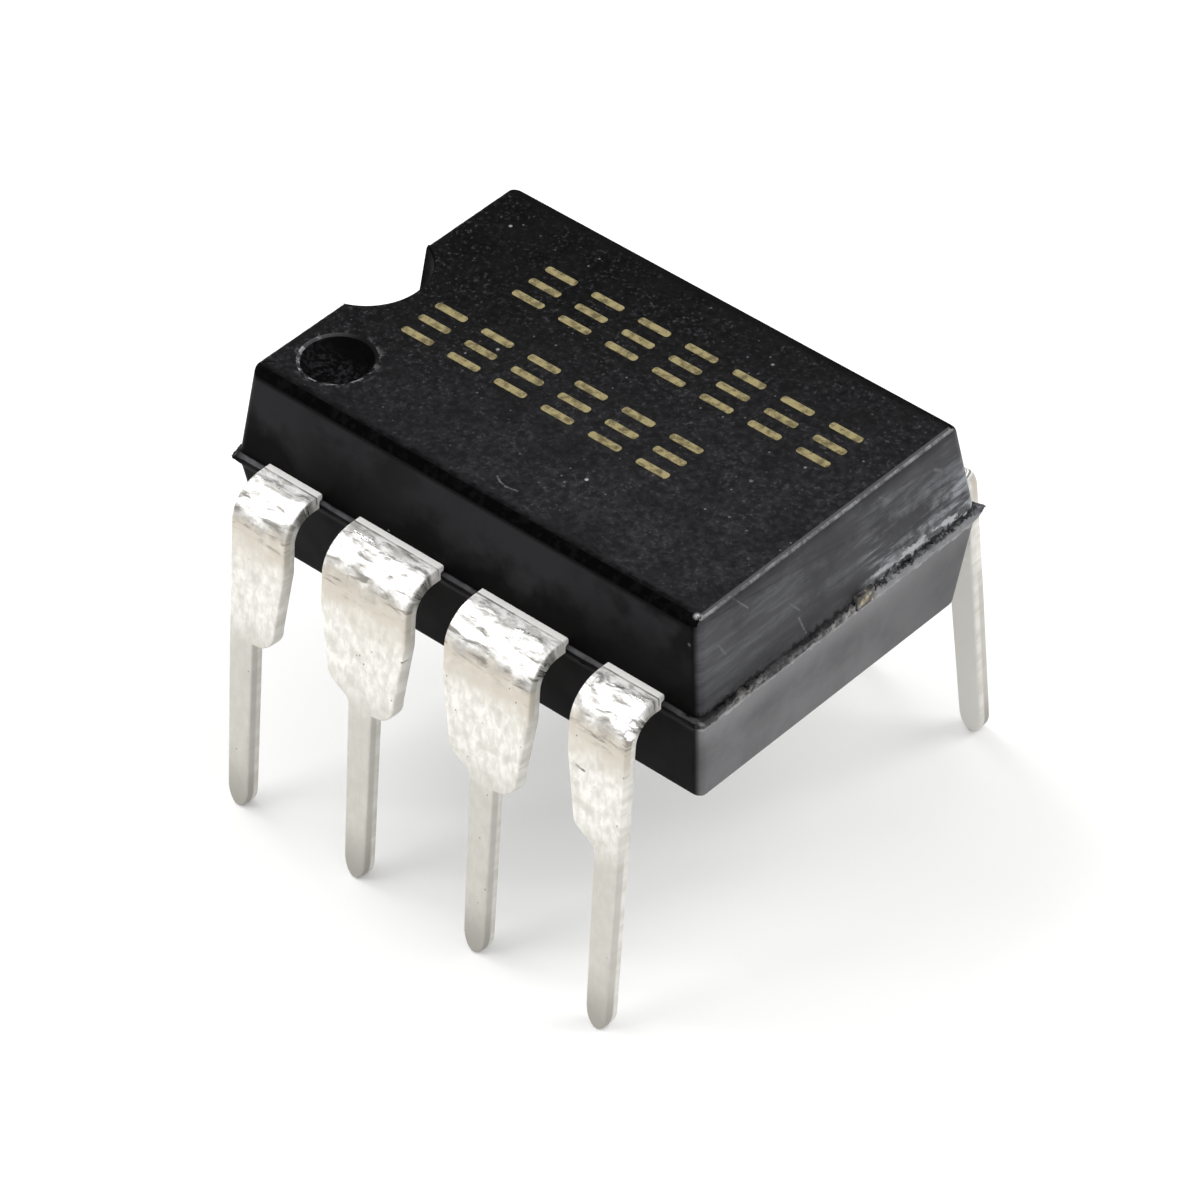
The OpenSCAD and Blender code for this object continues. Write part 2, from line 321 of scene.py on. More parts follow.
def scratch(tree, start, end, width):
    """1 on the line between two points of the object, in millimetres, and 0 a width away from it."""
    start, run = Vector(start), Vector(end) - Vector(start)
    here = add(tree, "ShaderNodeVectorMath", {
        0: millimetres(tree), 1: start,
    }, operation="SUBTRACT").outputs[0]
    share = add(tree, "ShaderNodeVectorMath", {0: here, 1: run / run.length_squared}, operation="DOT_PRODUCT")
    held = add(tree, "ShaderNodeClamp", {"Value": share.outputs["Value"]}).outputs[0]
    nearest = add(tree, "ShaderNodeVectorMath", {0: run, "Scale": held}, operation="SCALE").outputs[0]
    apart = add(tree, "ShaderNodeVectorMath", {0: here, 1: nearest}, operation="DISTANCE").outputs["Value"]
    return where(tree, (apart, width, 0.0), (patches(tree, 9.0, 3.0), 0.35, 0.6, 0.2, 1.0))


def corner_highlight(tree, ground):
    """The bright point where the long edge meets the end edge, next to lead 4: a painted highlight."""
    return layer(tree, ground, "#d0d0d0", scratch(tree, (4.42, -2.86, 7.57), (4.43, -2.86, 7.57), 0.08))


# %% Finish of the top
GRAIN_PER_MM = 16     # the eroded grain is finer than a pixel, so it is drawn at about 0.06 mm
DIMPLE_AT = (-BODY_LEN / 2 + 1.12, -BODY_WID / 2 + 1.22)
DIMPLE_R = 0.6
TOP_SIDE = 2.81       # how far out the flat top reaches before the long edges curve down
TOP_END = 4.46        # and how far along, before the end edges do
# a faint bowed scratch near the long edge, as three short lines
ARC = [((0.08, -2.45), (0.2, -2.52)), ((0.2, -2.52), (0.34, -2.55)), ((0.34, -2.55), (0.54, -2.51))]


def eroded_top():
    finish, tree, shader = new_finish("spark_eroded_epoxy", Specular_IOR_Level=0.05)
    at = position(tree)
    grain = patches(tree, GRAIN_PER_MM, 3.0)
    mottle = patches(tree, GRAIN_PER_MM / 2, 3.0)
    clouds = patches(tree, 1.3, 5.0, 0.65)

    # the top is painted greyer towards its near corner, as a painted sheen
    flat = {"X": at["X"], "Y": at["Y"]}
    place = add(tree, "ShaderNodeCombineXYZ", {**flat, "Z": clouds}).outputs[0]
    towards_near = {0: place, 1: (0.5, -0.8, 2.5)}
    nearness = add(tree, "ShaderNodeVectorMath", towards_near, operation="DOT_PRODUCT").outputs["Value"]
    painted_sheen = where(tree, (nearness, -2.5, 4.5))
    low = layer(tree, "#020202", "#1a1a1c", painted_sheen)
    high = layer(tree, "#0a0a0b", "#29292b", painted_sheen)
    colour = layer(tree, low, high, (mottle, 0.33, 0.68))
    colour = layer(tree, colour, "#0e0e0f", (clouds, 0.45, 0.62, 0.0, 0.45))
    colour = layer(tree, colour, "#434346", (grain, 0.54, 0.8), (clouds, 0.62, 0.38, 0.3, 1.0))

    # dust gathers in places, coarse and fine
    gathered = where(tree, (patches(tree, 0.9, 4.0, 0.7), 0.42, 0.6, 0.15, 1.0))
    colour = layer(tree, colour, "#a09e9a", dust(tree, 2.6, 0.11, 0.35), gathered)
    colour = layer(tree, colour, "#66656a", dust(tree, 7.5, 0.2, 0.3), gathered)
    for start, end in ARC:
        line = scratch(tree, (*start, BODY_TOP), (*end, BODY_TOP), 0.025)
        colour = layer(tree, colour, "#5c5c5f", line)

    # painted shade darkens the long edges, a painted highlight rings the dimple, and the end edge is painted
    # bright as wear and highlight
    from_middle = add(tree, "ShaderNodeMath", {0: at["Y"]}, operation="ABSOLUTE").outputs[0]
    uneven = {0: from_middle, 1: where(tree, (mottle, 0.3, 0.7, -0.06, 0.06))}
    band = add(tree, "ShaderNodeMath", uneven).outputs[0]
    colour = layer(tree, colour, "#040405", (band, TOP_SIDE - 0.07, TOP_SIDE + 0.07))
    from_dimple = {0: add(tree, "ShaderNodeCombineXYZ", flat).outputs[0], 1: (*DIMPLE_AT, 0)}
    rim = add(tree, "ShaderNodeVectorMath", from_dimple, operation="DISTANCE").outputs["Value"]
    colour = layer(tree, colour, "#5e5e60", (rim, DIMPLE_R + 0.14, DIMPLE_R + 0.03), (mottle, 0.5, 0.65), 0.5)
    colour = layer(tree, colour, "#505053", (at["X"], TOP_END - 0.03, TOP_END), 0.9)
    dress(tree, shader, corner_highlight(tree, colour), grain, 0.5, 0.004, (grain, 0.3, 0.7, 0.75, 0.6))
    return finish


TOP_FINISH = eroded_top()

# %% Finish of the sides
def side_colour(tree, at, above, clouds, below):
    """The long sides: smooth and black, with soft clouds, painted shade at the foot and under the top edge,
    and a lighter lip on the flash.
    """
    colour = layer(tree, "#0a0a0b", "#222224", (clouds, 0.38, 0.62))
    colour = layer(tree, colour, "#232325", (at["X"], -2.6, -3.8))
    colour = layer(tree, colour, "#242426", (at["X"], -3.0, 1.0), (at["X"], 3.4, 1.6))
    # painted shade at the foot of the wall, just above the flash
    uneven = {0: above, 1: where(tree, (clouds, 0.3, 0.7, 0.3, -0.3))}
    foot = add(tree, "ShaderNodeMath", uneven).outputs[0]
    colour = layer(tree, colour, "#040404", (foot, 1.3, 0.35))
    # painted shade just under the rounded top edge
    colour = layer(tree, colour, "#040405", (at["Z"], BODY_TOP - 0.23, BODY_TOP - 0.15))
    colour = layer(tree, colour, "#0b0b0c", below)
    lip = layer(tree, "#303032", "#58585a", (clouds, 0.35, 0.65))
    off_the_burr = (at["X"], -4.75, -4.5, 0.1, 1.0)
    return layer(tree, colour, lip, (above, 0.08, 0.12), (above, 0.16, 0.152), off_the_burr)


# %% Finish of the ends
# start, end and width of a few faint scratches on the end next to lead 4
END_SCRATCHES = [
    ((4.54, -2.2, 7.55), (4.59, -1.92, 7.21), 0.025),
    ((4.66, -1.05, 6.75), (4.68, -0.85, 6.5), 0.03),
    ((4.7, -0.9, 6.4), (4.74, -0.79, 6.05), 0.03),
    ((4.62, -2.63, 6.97), (4.65, -2.49, 6.72), 0.03),
    ((4.57, 1.1, 7.38), (4.59, 1.35, 7.2), 0.03),
    ((4.6, 2.35, 7.15), (4.61, 2.5, 7.05), 0.05),
    ((4.58, 1.2, 7.25), (4.6, 1.33, 7.2), 0.06),
]


def end_colour(tree, at, above, below):
    """The ends: grey, rubbed and hazy with a painted sheen, with a dark crack over the chipped ledge of
    flash.
    """
    haze = patches(tree, 0.8, 6.0, 0.65)
    chips = patches(tree, 7.0, 4.0, 0.7)
    strokes = patches(tree, 1.4, 5.0, 0.7, on=millimetres(tree, (1, 0.45, 3.5)))
    specks = patches(tree, 4.0, 3.0, on=millimetres(tree, (1, 0.5, 1.5)))
    uneven = {0: above, 1: where(tree, (chips, 0.25, 0.75, -0.07, 0.07))}
    ragged = add(tree, "ShaderNodeMath", uneven).outputs[0]
    far = where(tree, (at["Y"], 0.4, 1.0))

    # the upper half is hazy near the ledge at its far side, and painted with shade above the ledge at its
    # near side
    hazier = {0: where(tree, (above, 1.2, 0.6, 0.15, 1.0), far), 1: 0.12}
    near_ledge = add(tree, "ShaderNodeMath", hazier).outputs[0]
    # the upper half is painted grey, partly as rubbed wear and partly as a painted sheen
    upper = layer(tree, "#3a3a3c", "#48484b", (haze, 0.35, 0.65))
    upper = layer(tree, upper, "#a0a3a9", (strokes, 0.42, 0.66), (haze, 0.34, 0.54), near_ledge)
    shade_above_ledge = (above, 0.8, 0.2), (at["Y"], 1.1, 0.2), (haze, 0.4, 0.6, 0.3, 0.8)
    upper = layer(tree, upper, "#1f1f20", *shade_above_ledge)
    # the lower half is painted lighter, as a painted reflection of the lit floor, and lightest near the ledge
    lower = layer(tree, "#59595b", "#6e6e70", (haze, 0.3, 0.7))
    lower = layer(tree, lower, "#868688", (above, -0.7, -0.05, 0.0, 0.7))
    lower = layer(tree, lower, "#4c4c4e", (at["Y"], 0.5, 2.8, 0.0, 0.5))
    colour = layer(tree, upper, lower, below)

    # the ledge from above: a bright crest, the crack, the chipped face and its light lower rim
    crest = (ragged, 0.22, 0.26), (ragged, 0.42, 0.32), (specks, 0.44, 0.54, 0.1, 0.95), far
    colour = layer(tree, colour, "#b0b1b5", *crest)
    crack = (ragged, 0.11, 0.14), (ragged, 0.25, 0.18), (specks, 0.68, 0.5, 0.3, 0.95)
    colour = layer(tree, colour, "#131314", *crack)
    patchy = add(tree, "ShaderNodeMix", {0: 0.5, 2: chips, 3: haze}).outputs[0]
    lighter = {0: patchy, 1: where(tree, (at["Y"], -2.5, 2.0, -0.03, 0.06))}
    broken = add(tree, "ShaderNodeMath", lighter).outputs[0]
    chipped = where(tree, (ragged, -0.14, -0.03), (ragged, 0.17, 0.1), (broken, 0.42, 0.58))
    colour = layer(tree, colour, layer(tree, "#959391", "#828284", far), chipped)
    rim = (ragged, -0.12, -0.07), (ragged, 0.0, -0.05), (specks, 0.42, 0.55, 0.0, 0.9)
    colour = layer(tree, colour, "#a09f9f", *rim)
    for start, stop, width in END_SCRATCHES:
        colour = layer(tree, colour, "#66666a", scratch(tree, start, stop, width))

    # the edge to the top is painted bright, as wear and as a highlight, over a band of painted shade
    colour = layer(tree, colour, "#262628", (at["Z"], BODY_TOP - 0.22, BODY_TOP - 0.1, 0.0, 0.5))
    worn = layer(tree, "#525254", "#88888a", (patchy, 0.4, 0.58))
    colour = layer(tree, colour, worn, (at["Z"], BODY_TOP - 0.05, BODY_TOP - 0.025))

    # nothing is known of the notched end, so it is plainer and darker
    notched = layer(tree, "#242426", "#303032", (haze, 0.3, 0.7))
    notched = layer(tree, notched, "#6c6b6a", chipped, 0.5)
    return layer(tree, colour, notched, (at["X"], 1.0, -1.0))


# %% One finish for all walls
def moulded_wall(name, gloss):
    """The walls' finish. It turns from the dark smooth sides to the rubbed ends with their painted sheen
    round the corners.
    """
    finish, tree, shader = new_finish(name, Specular_IOR_Level=gloss)
    at = position(tree)
    above = add(tree, "ShaderNodeMath", {0: at["Z"], 1: -PARTING_Z}).outputs[0]
    below = where(tree, (above, 0.03, -0.05))
    clouds = patches(tree, 1.0)
    sides = side_colour(tree, at, above, clouds, below)
    ends = end_colour(tree, at, above, below)

    normal = add(tree, "ShaderNodeTexCoord").outputs["Normal"]
    flat = add(tree, "ShaderNodeVectorMath", {0: normal, 1: (1, 1, 0)}, operation="MULTIPLY").outputs[0]
    flat = add(tree, "ShaderNodeVectorMath", {0: flat}, operation="NORMALIZE").outputs[0]
    lengthwise = add(tree, "ShaderNodeSeparateXYZ", {"Vector": flat}).outputs["X"]
    facing = add(tree, "ShaderNodeMath", {0: lengthwise}, operation="ABSOLUTE").outputs[0]
    colour = layer(tree, sides, ends, (facing, 0.3, 0.95))
    colour = layer(tree, colour, "#7d7c7e", dust(tree, 2.0, 0.08, 0.22))
    chip = scratch(tree, (4.79, -3.26, 5.93), (4.83, -3.15, 5.84), 0.06)
    colour = corner_highlight(tree, layer(tree, colour, "#8e8c8a", chip))
    grain = patches(tree, GRAIN_PER_MM, 2.0)
    dress(tree, shader, colour, grain, 0.2, 0.003, (clouds, 0.3, 0.7, 0.4, 0.52))
    return finish


SIDE_FINISH = moulded_wall("smooth_moulded_epoxy", 0.03)
END_FINISH = moulded_wall("rubbed_epoxy_with_painted_sheen", 0.1)

# %% Finish of the polished edges and the pin marks
def polished(name, dark, light, per_mm):
    finish, tree, shader = new_finish(name, Specular_IOR_Level=0.01)
    at = position(tree)
    spots = patches(tree, per_mm, 3.0)
    # only the near side and the end side of the dimple are painted lighter, as a painted highlight
    near_side = where(tree, (at["Y"], DIMPLE_AT[1] + 0.4, DIMPLE_AT[1]), (spots, 0.45, 0.65))
    end_side = where(tree, (at["X"], DIMPLE_AT[0], DIMPLE_AT[0] - 0.7, 0.0, 0.2))
    lit = add(tree, "ShaderNodeMath", {0: near_side, 1: end_side}).outputs[0]
    colour = corner_highlight(tree, layer(tree, dark, light, lit))
    dress(tree, shader, colour, spots, 0.2, 0.003, (spots, 0.3, 0.7, 0.5, 0.6))
    return finish


EDGE_FINISH = polished("polished_epoxy_edge", "#020202", "#0a0a0b", 6.0)
PIN_FINISH = polished("polished_epoxy_hollow", "#050505", "#202022", 12.0)
RIM_FINISH = polished("epoxy_rim_with_painted_highlight", "#141415", "#8a8a8c", 7.0)
BODY_FINISHES = [SIDE_FINISH, TOP_FINISH, END_FINISH, EDGE_FINISH, PIN_FINISH, RIM_FINISH]
print("moulding finishes:", [made.name for made in BODY_FINISHES])

# %% [markdown]
# ## The moulded body
# On the real object the two halves of the mould leave two drafted blocks that meet in a thin ledge of
# flash. A flat plane with rounded corners is drawn at the underside and pulled up in steps, each scaled
# to the width of the body there, as a potter pulls up a wall. So the whole body is one closed skin.

# %% Pull the body up from its underside
CORNER_R = 0.16
FLASH_OUT = 0.05
FLASH_T = 0.15
SIDE_STEP = 0.08      # length of one edge along the long sides
END_STEP = 0.05       # finer at the ends, where the flash is ragged
FLAT_STEP = 0.6       # the flat top and underside only need to be free of long thin triangles

# height of each step, and how far the skin stands out from the parting line there
BODY_STEPS = [
    (PARTING_Z - 0.9, -0.9 * DRAFT),
    (PARTING_Z - 0.16, -0.16 * DRAFT),
    (PARTING_Z - 0.07, 0.0),
    (PARTING_Z, 0.9 * FLASH_OUT),
    (PARTING_Z + 0.07, FLASH_OUT),
    (PARTING_Z + FLASH_T - 0.015, 0.9 * FLASH_OUT),
    (PARTING_Z + FLASH_T, 0.5 * FLASH_OUT),
    (PARTING_Z + FLASH_T + 0.01, -FLASH_T * DRAFT),
    (PARTING_Z + 0.9, -0.9 * DRAFT),
    (BODY_TOP, -UPPER_H * DRAFT),
]


def half_size(out):
    return BODY_LEN / 2 + out, BODY_WID / 2 + out


start_clean()
bpy.ops.mesh.primitive_plane_add(size=2, location=(0, 0, BODY_LOW))
body = bpy.context.object
body.name = "dressed_body"
bpy.ops.object.transform_apply(location=True, rotation=False, scale=False)
bpy.ops.object.mode_set(mode="EDIT")
long_half, wide_half = half_size(-LOWER_H * DRAFT)
bpy.ops.transform.resize(value=(long_half, wide_half, 1), center_override=(0, 0, BODY_LOW))
bpy.ops.mesh.bevel(offset=CORNER_R, segments=8, affect="VERTICES")
bpy.ops.mesh.select_mode(type="FACE")
bpy.ops.mesh.select_all(action="SELECT")
height = BODY_LOW
for level_z, out in BODY_STEPS:
    bpy.ops.mesh.extrude_region_move(TRANSFORM_OT_translate={"value": (0, 0, level_z - height)})
    new_long, new_wide = half_size(out)
    bpy.ops.transform.resize(
        value=(new_long / long_half, new_wide / wide_half, 1), center_override=(0, 0, level_z),
    )
    height, long_half, wide_half = level_z, new_long, new_wide
bpy.ops.mesh.select_all(action="SELECT")
bpy.ops.mesh.normals_make_consistent(inside=False)
bpy.ops.object.mode_set(mode="OBJECT")
report(body)

# %% [markdown]
# ## Notch, dimple and ejector marks
# Steel pins in the mould leave these hollows, so each is cut out with the shape of its pin: a cone for
# the notch and the dimple, which narrow so that the body lets go of them, and a flat round for the two
# marks underneath. The rims are then eased, because filled epoxy never leaves a knife edge.

# %% Cut the hollows
NOTCH_AT = -BODY_LEN / 2 - 0.1
NOTCH_R = 1.0
NOTCH_FLOOR = PARTING_Z + 0.5
NOTCH_FOOT_R = 0.06   # how round its foot is
DIMPLE_FLOOR_R = 0.45
DIMPLE_DEPTH = 0.2
DIMPLE_FOOT_R = 0.05
EJECTOR_AT = 2.5      # how far along each way from the middle
EJECTOR_R = 0.75
EJECTOR_DEPTH = 0.06
OVER = 0.1            # how far a pin runs past the face that it marks


def pin(low_r, high_r, centre, low, high, foot_r=0.0):
    """A tapered pin that stands up from low to high, with its lower rim rounded."""
    start_clean()
    bpy.ops.mesh.primitive_cone_add(
        vertices=72, radius1=low_r, radius2=high_r, depth=high - low,
        location=(centre[0], centre[1], (low + high) / 2),
    )
    made = bpy.context.object
    bpy.ops.object.transform_apply(location=True, rotation=False, scale=False)
    if foot_r:
        bpy.ops.object.mode_set(mode="EDIT")
        select_edges(lambda e: all(abs(v.co.z - low) < 1e-4 for v in e.verts))
        bpy.ops.mesh.bevel(offset=foot_r, segments=4, affect="EDGES")
        bpy.ops.object.mode_set(mode="OBJECT")
    return made


notch_depth = BODY_TOP - NOTCH_FLOOR
cut_out(body, pin(
    NOTCH_R - notch_depth * DRAFT, NOTCH_R + OVER * DRAFT, (NOTCH_AT, 0),
    NOTCH_FLOOR, BODY_TOP + OVER, NOTCH_FOOT_R,
))
slope = (DIMPLE_R - DIMPLE_FLOOR_R) / DIMPLE_DEPTH
cut_out(body, pin(
    DIMPLE_FLOOR_R, DIMPLE_R + slope * OVER, DIMPLE_AT,
    BODY_TOP - DIMPLE_DEPTH, BODY_TOP + OVER, DIMPLE_FOOT_R,
))
for side in (-1, 1):
    mark_at = (side * EJECTOR_AT, 0)
    cut_out(body, pin(EJECTOR_R, EJECTOR_R, mark_at, BODY_LOW - OVER, BODY_LOW + EJECTOR_DEPTH))
report(body)

# %% [markdown]
# The edges round the top and the underside are rounded, and not evenly: the long edges are a wide soft
# curve, the end edges are almost sharp, and the rims of the notch and the dimple are only eased. The
# bevel modifier takes a weight for each edge, so one modifier makes them all and blends one into the
# next round the corners.

# %% Round the edges
LONG_EDGE_R = 0.17
END_EDGE_R = 0.07
RIM_R = 0.035


def round_hollow(point, centre, radius):
    return abs(math.hypot(point.x - centre[0], point.y - centre[1]) - radius) < 0.02


def edge_radius(one, two):
    """How round an edge of the raw body becomes, or 0 where it stays as it is."""
    flat = abs(one.z - two.z) < 1e-3
    top = abs(one.z - BODY_TOP) < 1e-3
    if not flat or not (top or abs(one.z - BODY_LOW) < 1e-3):
        return 0
    for centre, radius in (((NOTCH_AT, 0), NOTCH_R), (DIMPLE_AT, DIMPLE_R)):
        if top and round_hollow(one, centre, radius) and round_hollow(two, centre, radius):
            return RIM_R
    if max(abs(one.x), abs(two.x)) < 4.4 and max(abs(one.y), abs(two.y)) < 2.85:
        return 0
    along = (two - one).normalized()
    return LONG_EDGE_R * along.x ** 2 + END_EDGE_R * along.y ** 2


weights = body.data.attributes.new("bevel_weight_edge", "FLOAT", "EDGE")
beside = {}
for face in body.data.polygons:
    for key in face.edge_keys:
        beside.setdefault(key, []).append(face.normal)
for edge in body.data.edges:
    one, two = (body.data.vertices[k].co for k in edge.vertices)
    sides = beside[edge.key]
    if len(sides) == 2 and sides[0].dot(sides[1]) < 0.95:
        weights.data[edge.index].value = edge_radius(one, two) / LONG_EDGE_R
make_active(body)
bpy.ops.object.modifier_add(type="BEVEL")
rounding = body.modifiers[-1]
rounding.limit_method = "WEIGHT"
rounding.width = LONG_EDGE_R
rounding.segments = 5
rounding.use_clamp_overlap = False
finish_modifier(body)
report(body)

# %% [markdown]
# Only the ledge of flash and the end edges of the top need small faces, to be ragged. Flat cuts through
# just those faces give them that, and leave the plain walls alone. The flat top and underside get a coarse
# grid, because a single face with a hundred corners would be split into needles that shade badly.

# %% Cut the flash and the end edges finely
def near_parting(face):
    return all(abs(v.co.z - PARTING_Z - 0.04) < 0.21 for v in face.verts)


def near_end_edge(face):
    centre = face.calc_center_median()
    sloping = 0.15 < face.normal.z < 0.98
    return abs(centre.x) > 4.4 and centre.z > BODY_TOP - 0.13 and sloping


def on_flat(face):
    from_middle = abs(face.calc_center_median().z - (BODY_TOP + BODY_LOW) / 2)
    return abs(face.normal.z) > 0.999 and from_middle > 1.7


bpy.ops.object.mode_set(mode="EDIT")
slice_faces(on_flat, ALONG, range(-7, 8), FLAT_STEP)
slice_faces(on_flat, ACROSS, range(-4, 5), FLAT_STEP)
slice_faces(near_parting, ACROSS, range(-64, 65), END_STEP)
slice_faces(near_end_edge, ACROSS, range(-64, 65), END_STEP)
slice_faces(near_parting, ALONG, range(-58, 59), SIDE_STEP)
bpy.ops.object.mode_set(mode="OBJECT")
report(body)

# %% [markdown]
# ## Ragged flash and worn edges
# Flash is a skin of resin that leaks between the mould halves and breaks off unevenly. Each point of
# the ledge is moved by a smooth noise, more at the ends, where the frame was sheared off, and a pointed
# burr is left standing at two opposite corners. The end edges of the top are nibbled in the same way.

# %% Break the flash and nibble the edges
TIE_BAR_Y = 0.5
END_ROUGH, END_LIFT = 0.026, 0.03       # how far the ledge is moved out and up at the ends
SIDE_ROUGH, SIDE_LIFT = 0.01, 0.008     # and along the sides


def wobble(point, scale, seed):
    return noise.noise(Vector((point.x * scale + seed, point.y * scale, point.z * scale)))


for vertex in body.data.vertices:
    co = vertex.co
    outside = max(abs(co.x) - BODY_LEN / 2, abs(co.y) - BODY_WID / 2)
    at_end = abs(co.x) > BODY_LEN / 2 - 0.25
    if outside > 0.012 and abs(co.z - PARTING_Z) < 0.2:
        rough, lift = (END_ROUGH, END_LIFT) if at_end else (SIDE_ROUGH, SIDE_LIFT)
        outward = ALONG * math.copysign(1, co.x) if at_end else ACROSS * math.copysign(1, co.y)
        co += outward * rough * (wobble(co, 5, 3.1) + 0.6 * wobble(co, 14, 7.7) - 0.25)
        co.z += lift * (wobble(co, 4, 11.3) + 0.5 * wobble(co, 12, 5.9))
    if at_end and abs(co.z - BODY_TOP) < 0.12 and abs(co.x) > BODY_LEN / 2 - 0.34:
        nibble = 0.5 * wobble(co, 6, 21.0) + 0.5 * wobble(co, 17, 2.2)
        co.x -= math.copysign(0.022 * max(0.0, nibble), co.x)
        co.z -= 0.014 * max(0.0, nibble)

# where a burr stands at a corner, and how far its tip is pulled out and up
BURRS = [((-4.825, -3.275), (-0.03, -0.11, 0.0)), ((4.825, 3.275), (0.08, 0.2, 0.07))]
BURR_REACH = 0.25     # how far from the tip the ledge is pulled along
BURR_Z = PARTING_Z + 0.06
for (corner_x, corner_y), pulled in BURRS:
    for vertex in body.data.vertices:
        co = vertex.co
        near = max(0.0, 1 - math.hypot(co.x - corner_x, co.y - corner_y) / BURR_REACH)
        tall = max(0.0, 1 - abs(co.z - PARTING_Z - 0.05) / 0.1)
        co += Vector(pulled) * near * tall
        # the tip is pressed thin, so that it ends in a point
        if tall:
            co.z += (BURR_Z + pulled[2] - co.z) * 0.8 * min(1.0, 1.4 * near) ** 2

# the flash stands no further out than this over the cut ends of the tie bars, so that they show
TIE_BAR_END = 4.79
for vertex in body.data.vertices:
    co = vertex.co
    for side in (-1, 1):
        across = abs(co.y - side * TIE_BAR_Y)
        if co.x * side > 4.76 and across < 0.2 and abs(co.z - LEAD_Z) < 0.2:
            co.x = side * min(abs(co.x), TIE_BAR_END)

to_metres(body)
bpy.ops.object.shade_smooth_by_angle(angle=math.radians(32))
bpy.ops.object.modifier_add(type="WEIGHTED_NORMAL")
body.modifiers[-1].keep_sharp = True
finish_modifier(body)
for finish in BODY_FINISHES:
    body.data.materials.append(finish)


def finish_of(face):
    """Which finish a face of the body has, by where it is and how it lies."""
    x, y, z = (value / MM for value in face.center)
    from_notch = math.hypot(x - NOTCH_AT, y)
    from_dimple = math.hypot(x - DIMPLE_AT[0], y - DIMPLE_AT[1])
    if face.normal.z > 0.999 and z > BODY_TOP - 0.001:
        return TOP_FINISH
    if from_dimple < DIMPLE_R + RIM_R + 0.01 and z > BODY_TOP - DIMPLE_DEPTH - 0.05:
        return RIM_FINISH if z > BODY_TOP - 0.06 else PIN_FINISH
    if face.normal.z > 0.97 and z > BODY_TOP - 0.03:
        return TOP_FINISH
    if from_notch < NOTCH_R + RIM_R and z > NOTCH_FLOOR - 0.1:
        return EDGE_FINISH
    if abs(face.normal.x) > abs(face.normal.y):
        return END_FINISH
    if z > BODY_TOP - 0.17:
        return EDGE_FINISH
    return SIDE_FINISH


for face in body.data.polygons:
    face.material_index = BODY_FINISHES.index(finish_of(face))
report(body)
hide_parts("moulded_body")
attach(body, "root")

# %% [markdown]
# ## Tin plate on the leads
# The leads are stamped from copper alloy and dipped in tin, which dries to a dull, slightly creamy grey
# with soft streaks. Where the strip was bent round the forming tool the tin was ironed bright and
# crinkled across, and the crinkles are painted dark as the shade and dark reflections in the folds. A crease
# crosses the lead just outside the body, painted dark as the shade in it, and a tan band lies below the bend.
# The sheared edges are duller, with tin only near the front.
# The pattern follows the bent strip, so it reads a map of the lead as if it were still flat: across it
# and along it from the body, in millimetres, and a second value for the depth into its thickness.

# %% Finish of the leads
# start, end and width of the two dark marks: a nick on lead 3's bend and a dash on lead 4's leg
LEAD_MARKS = [
    ((2.15, -3.7, 5.85), (2.15, -3.66, 5.6), 0.07),
    ((3.13, -4.14, 4.74), (3.29, -4.14, 4.72), 0.04),
]


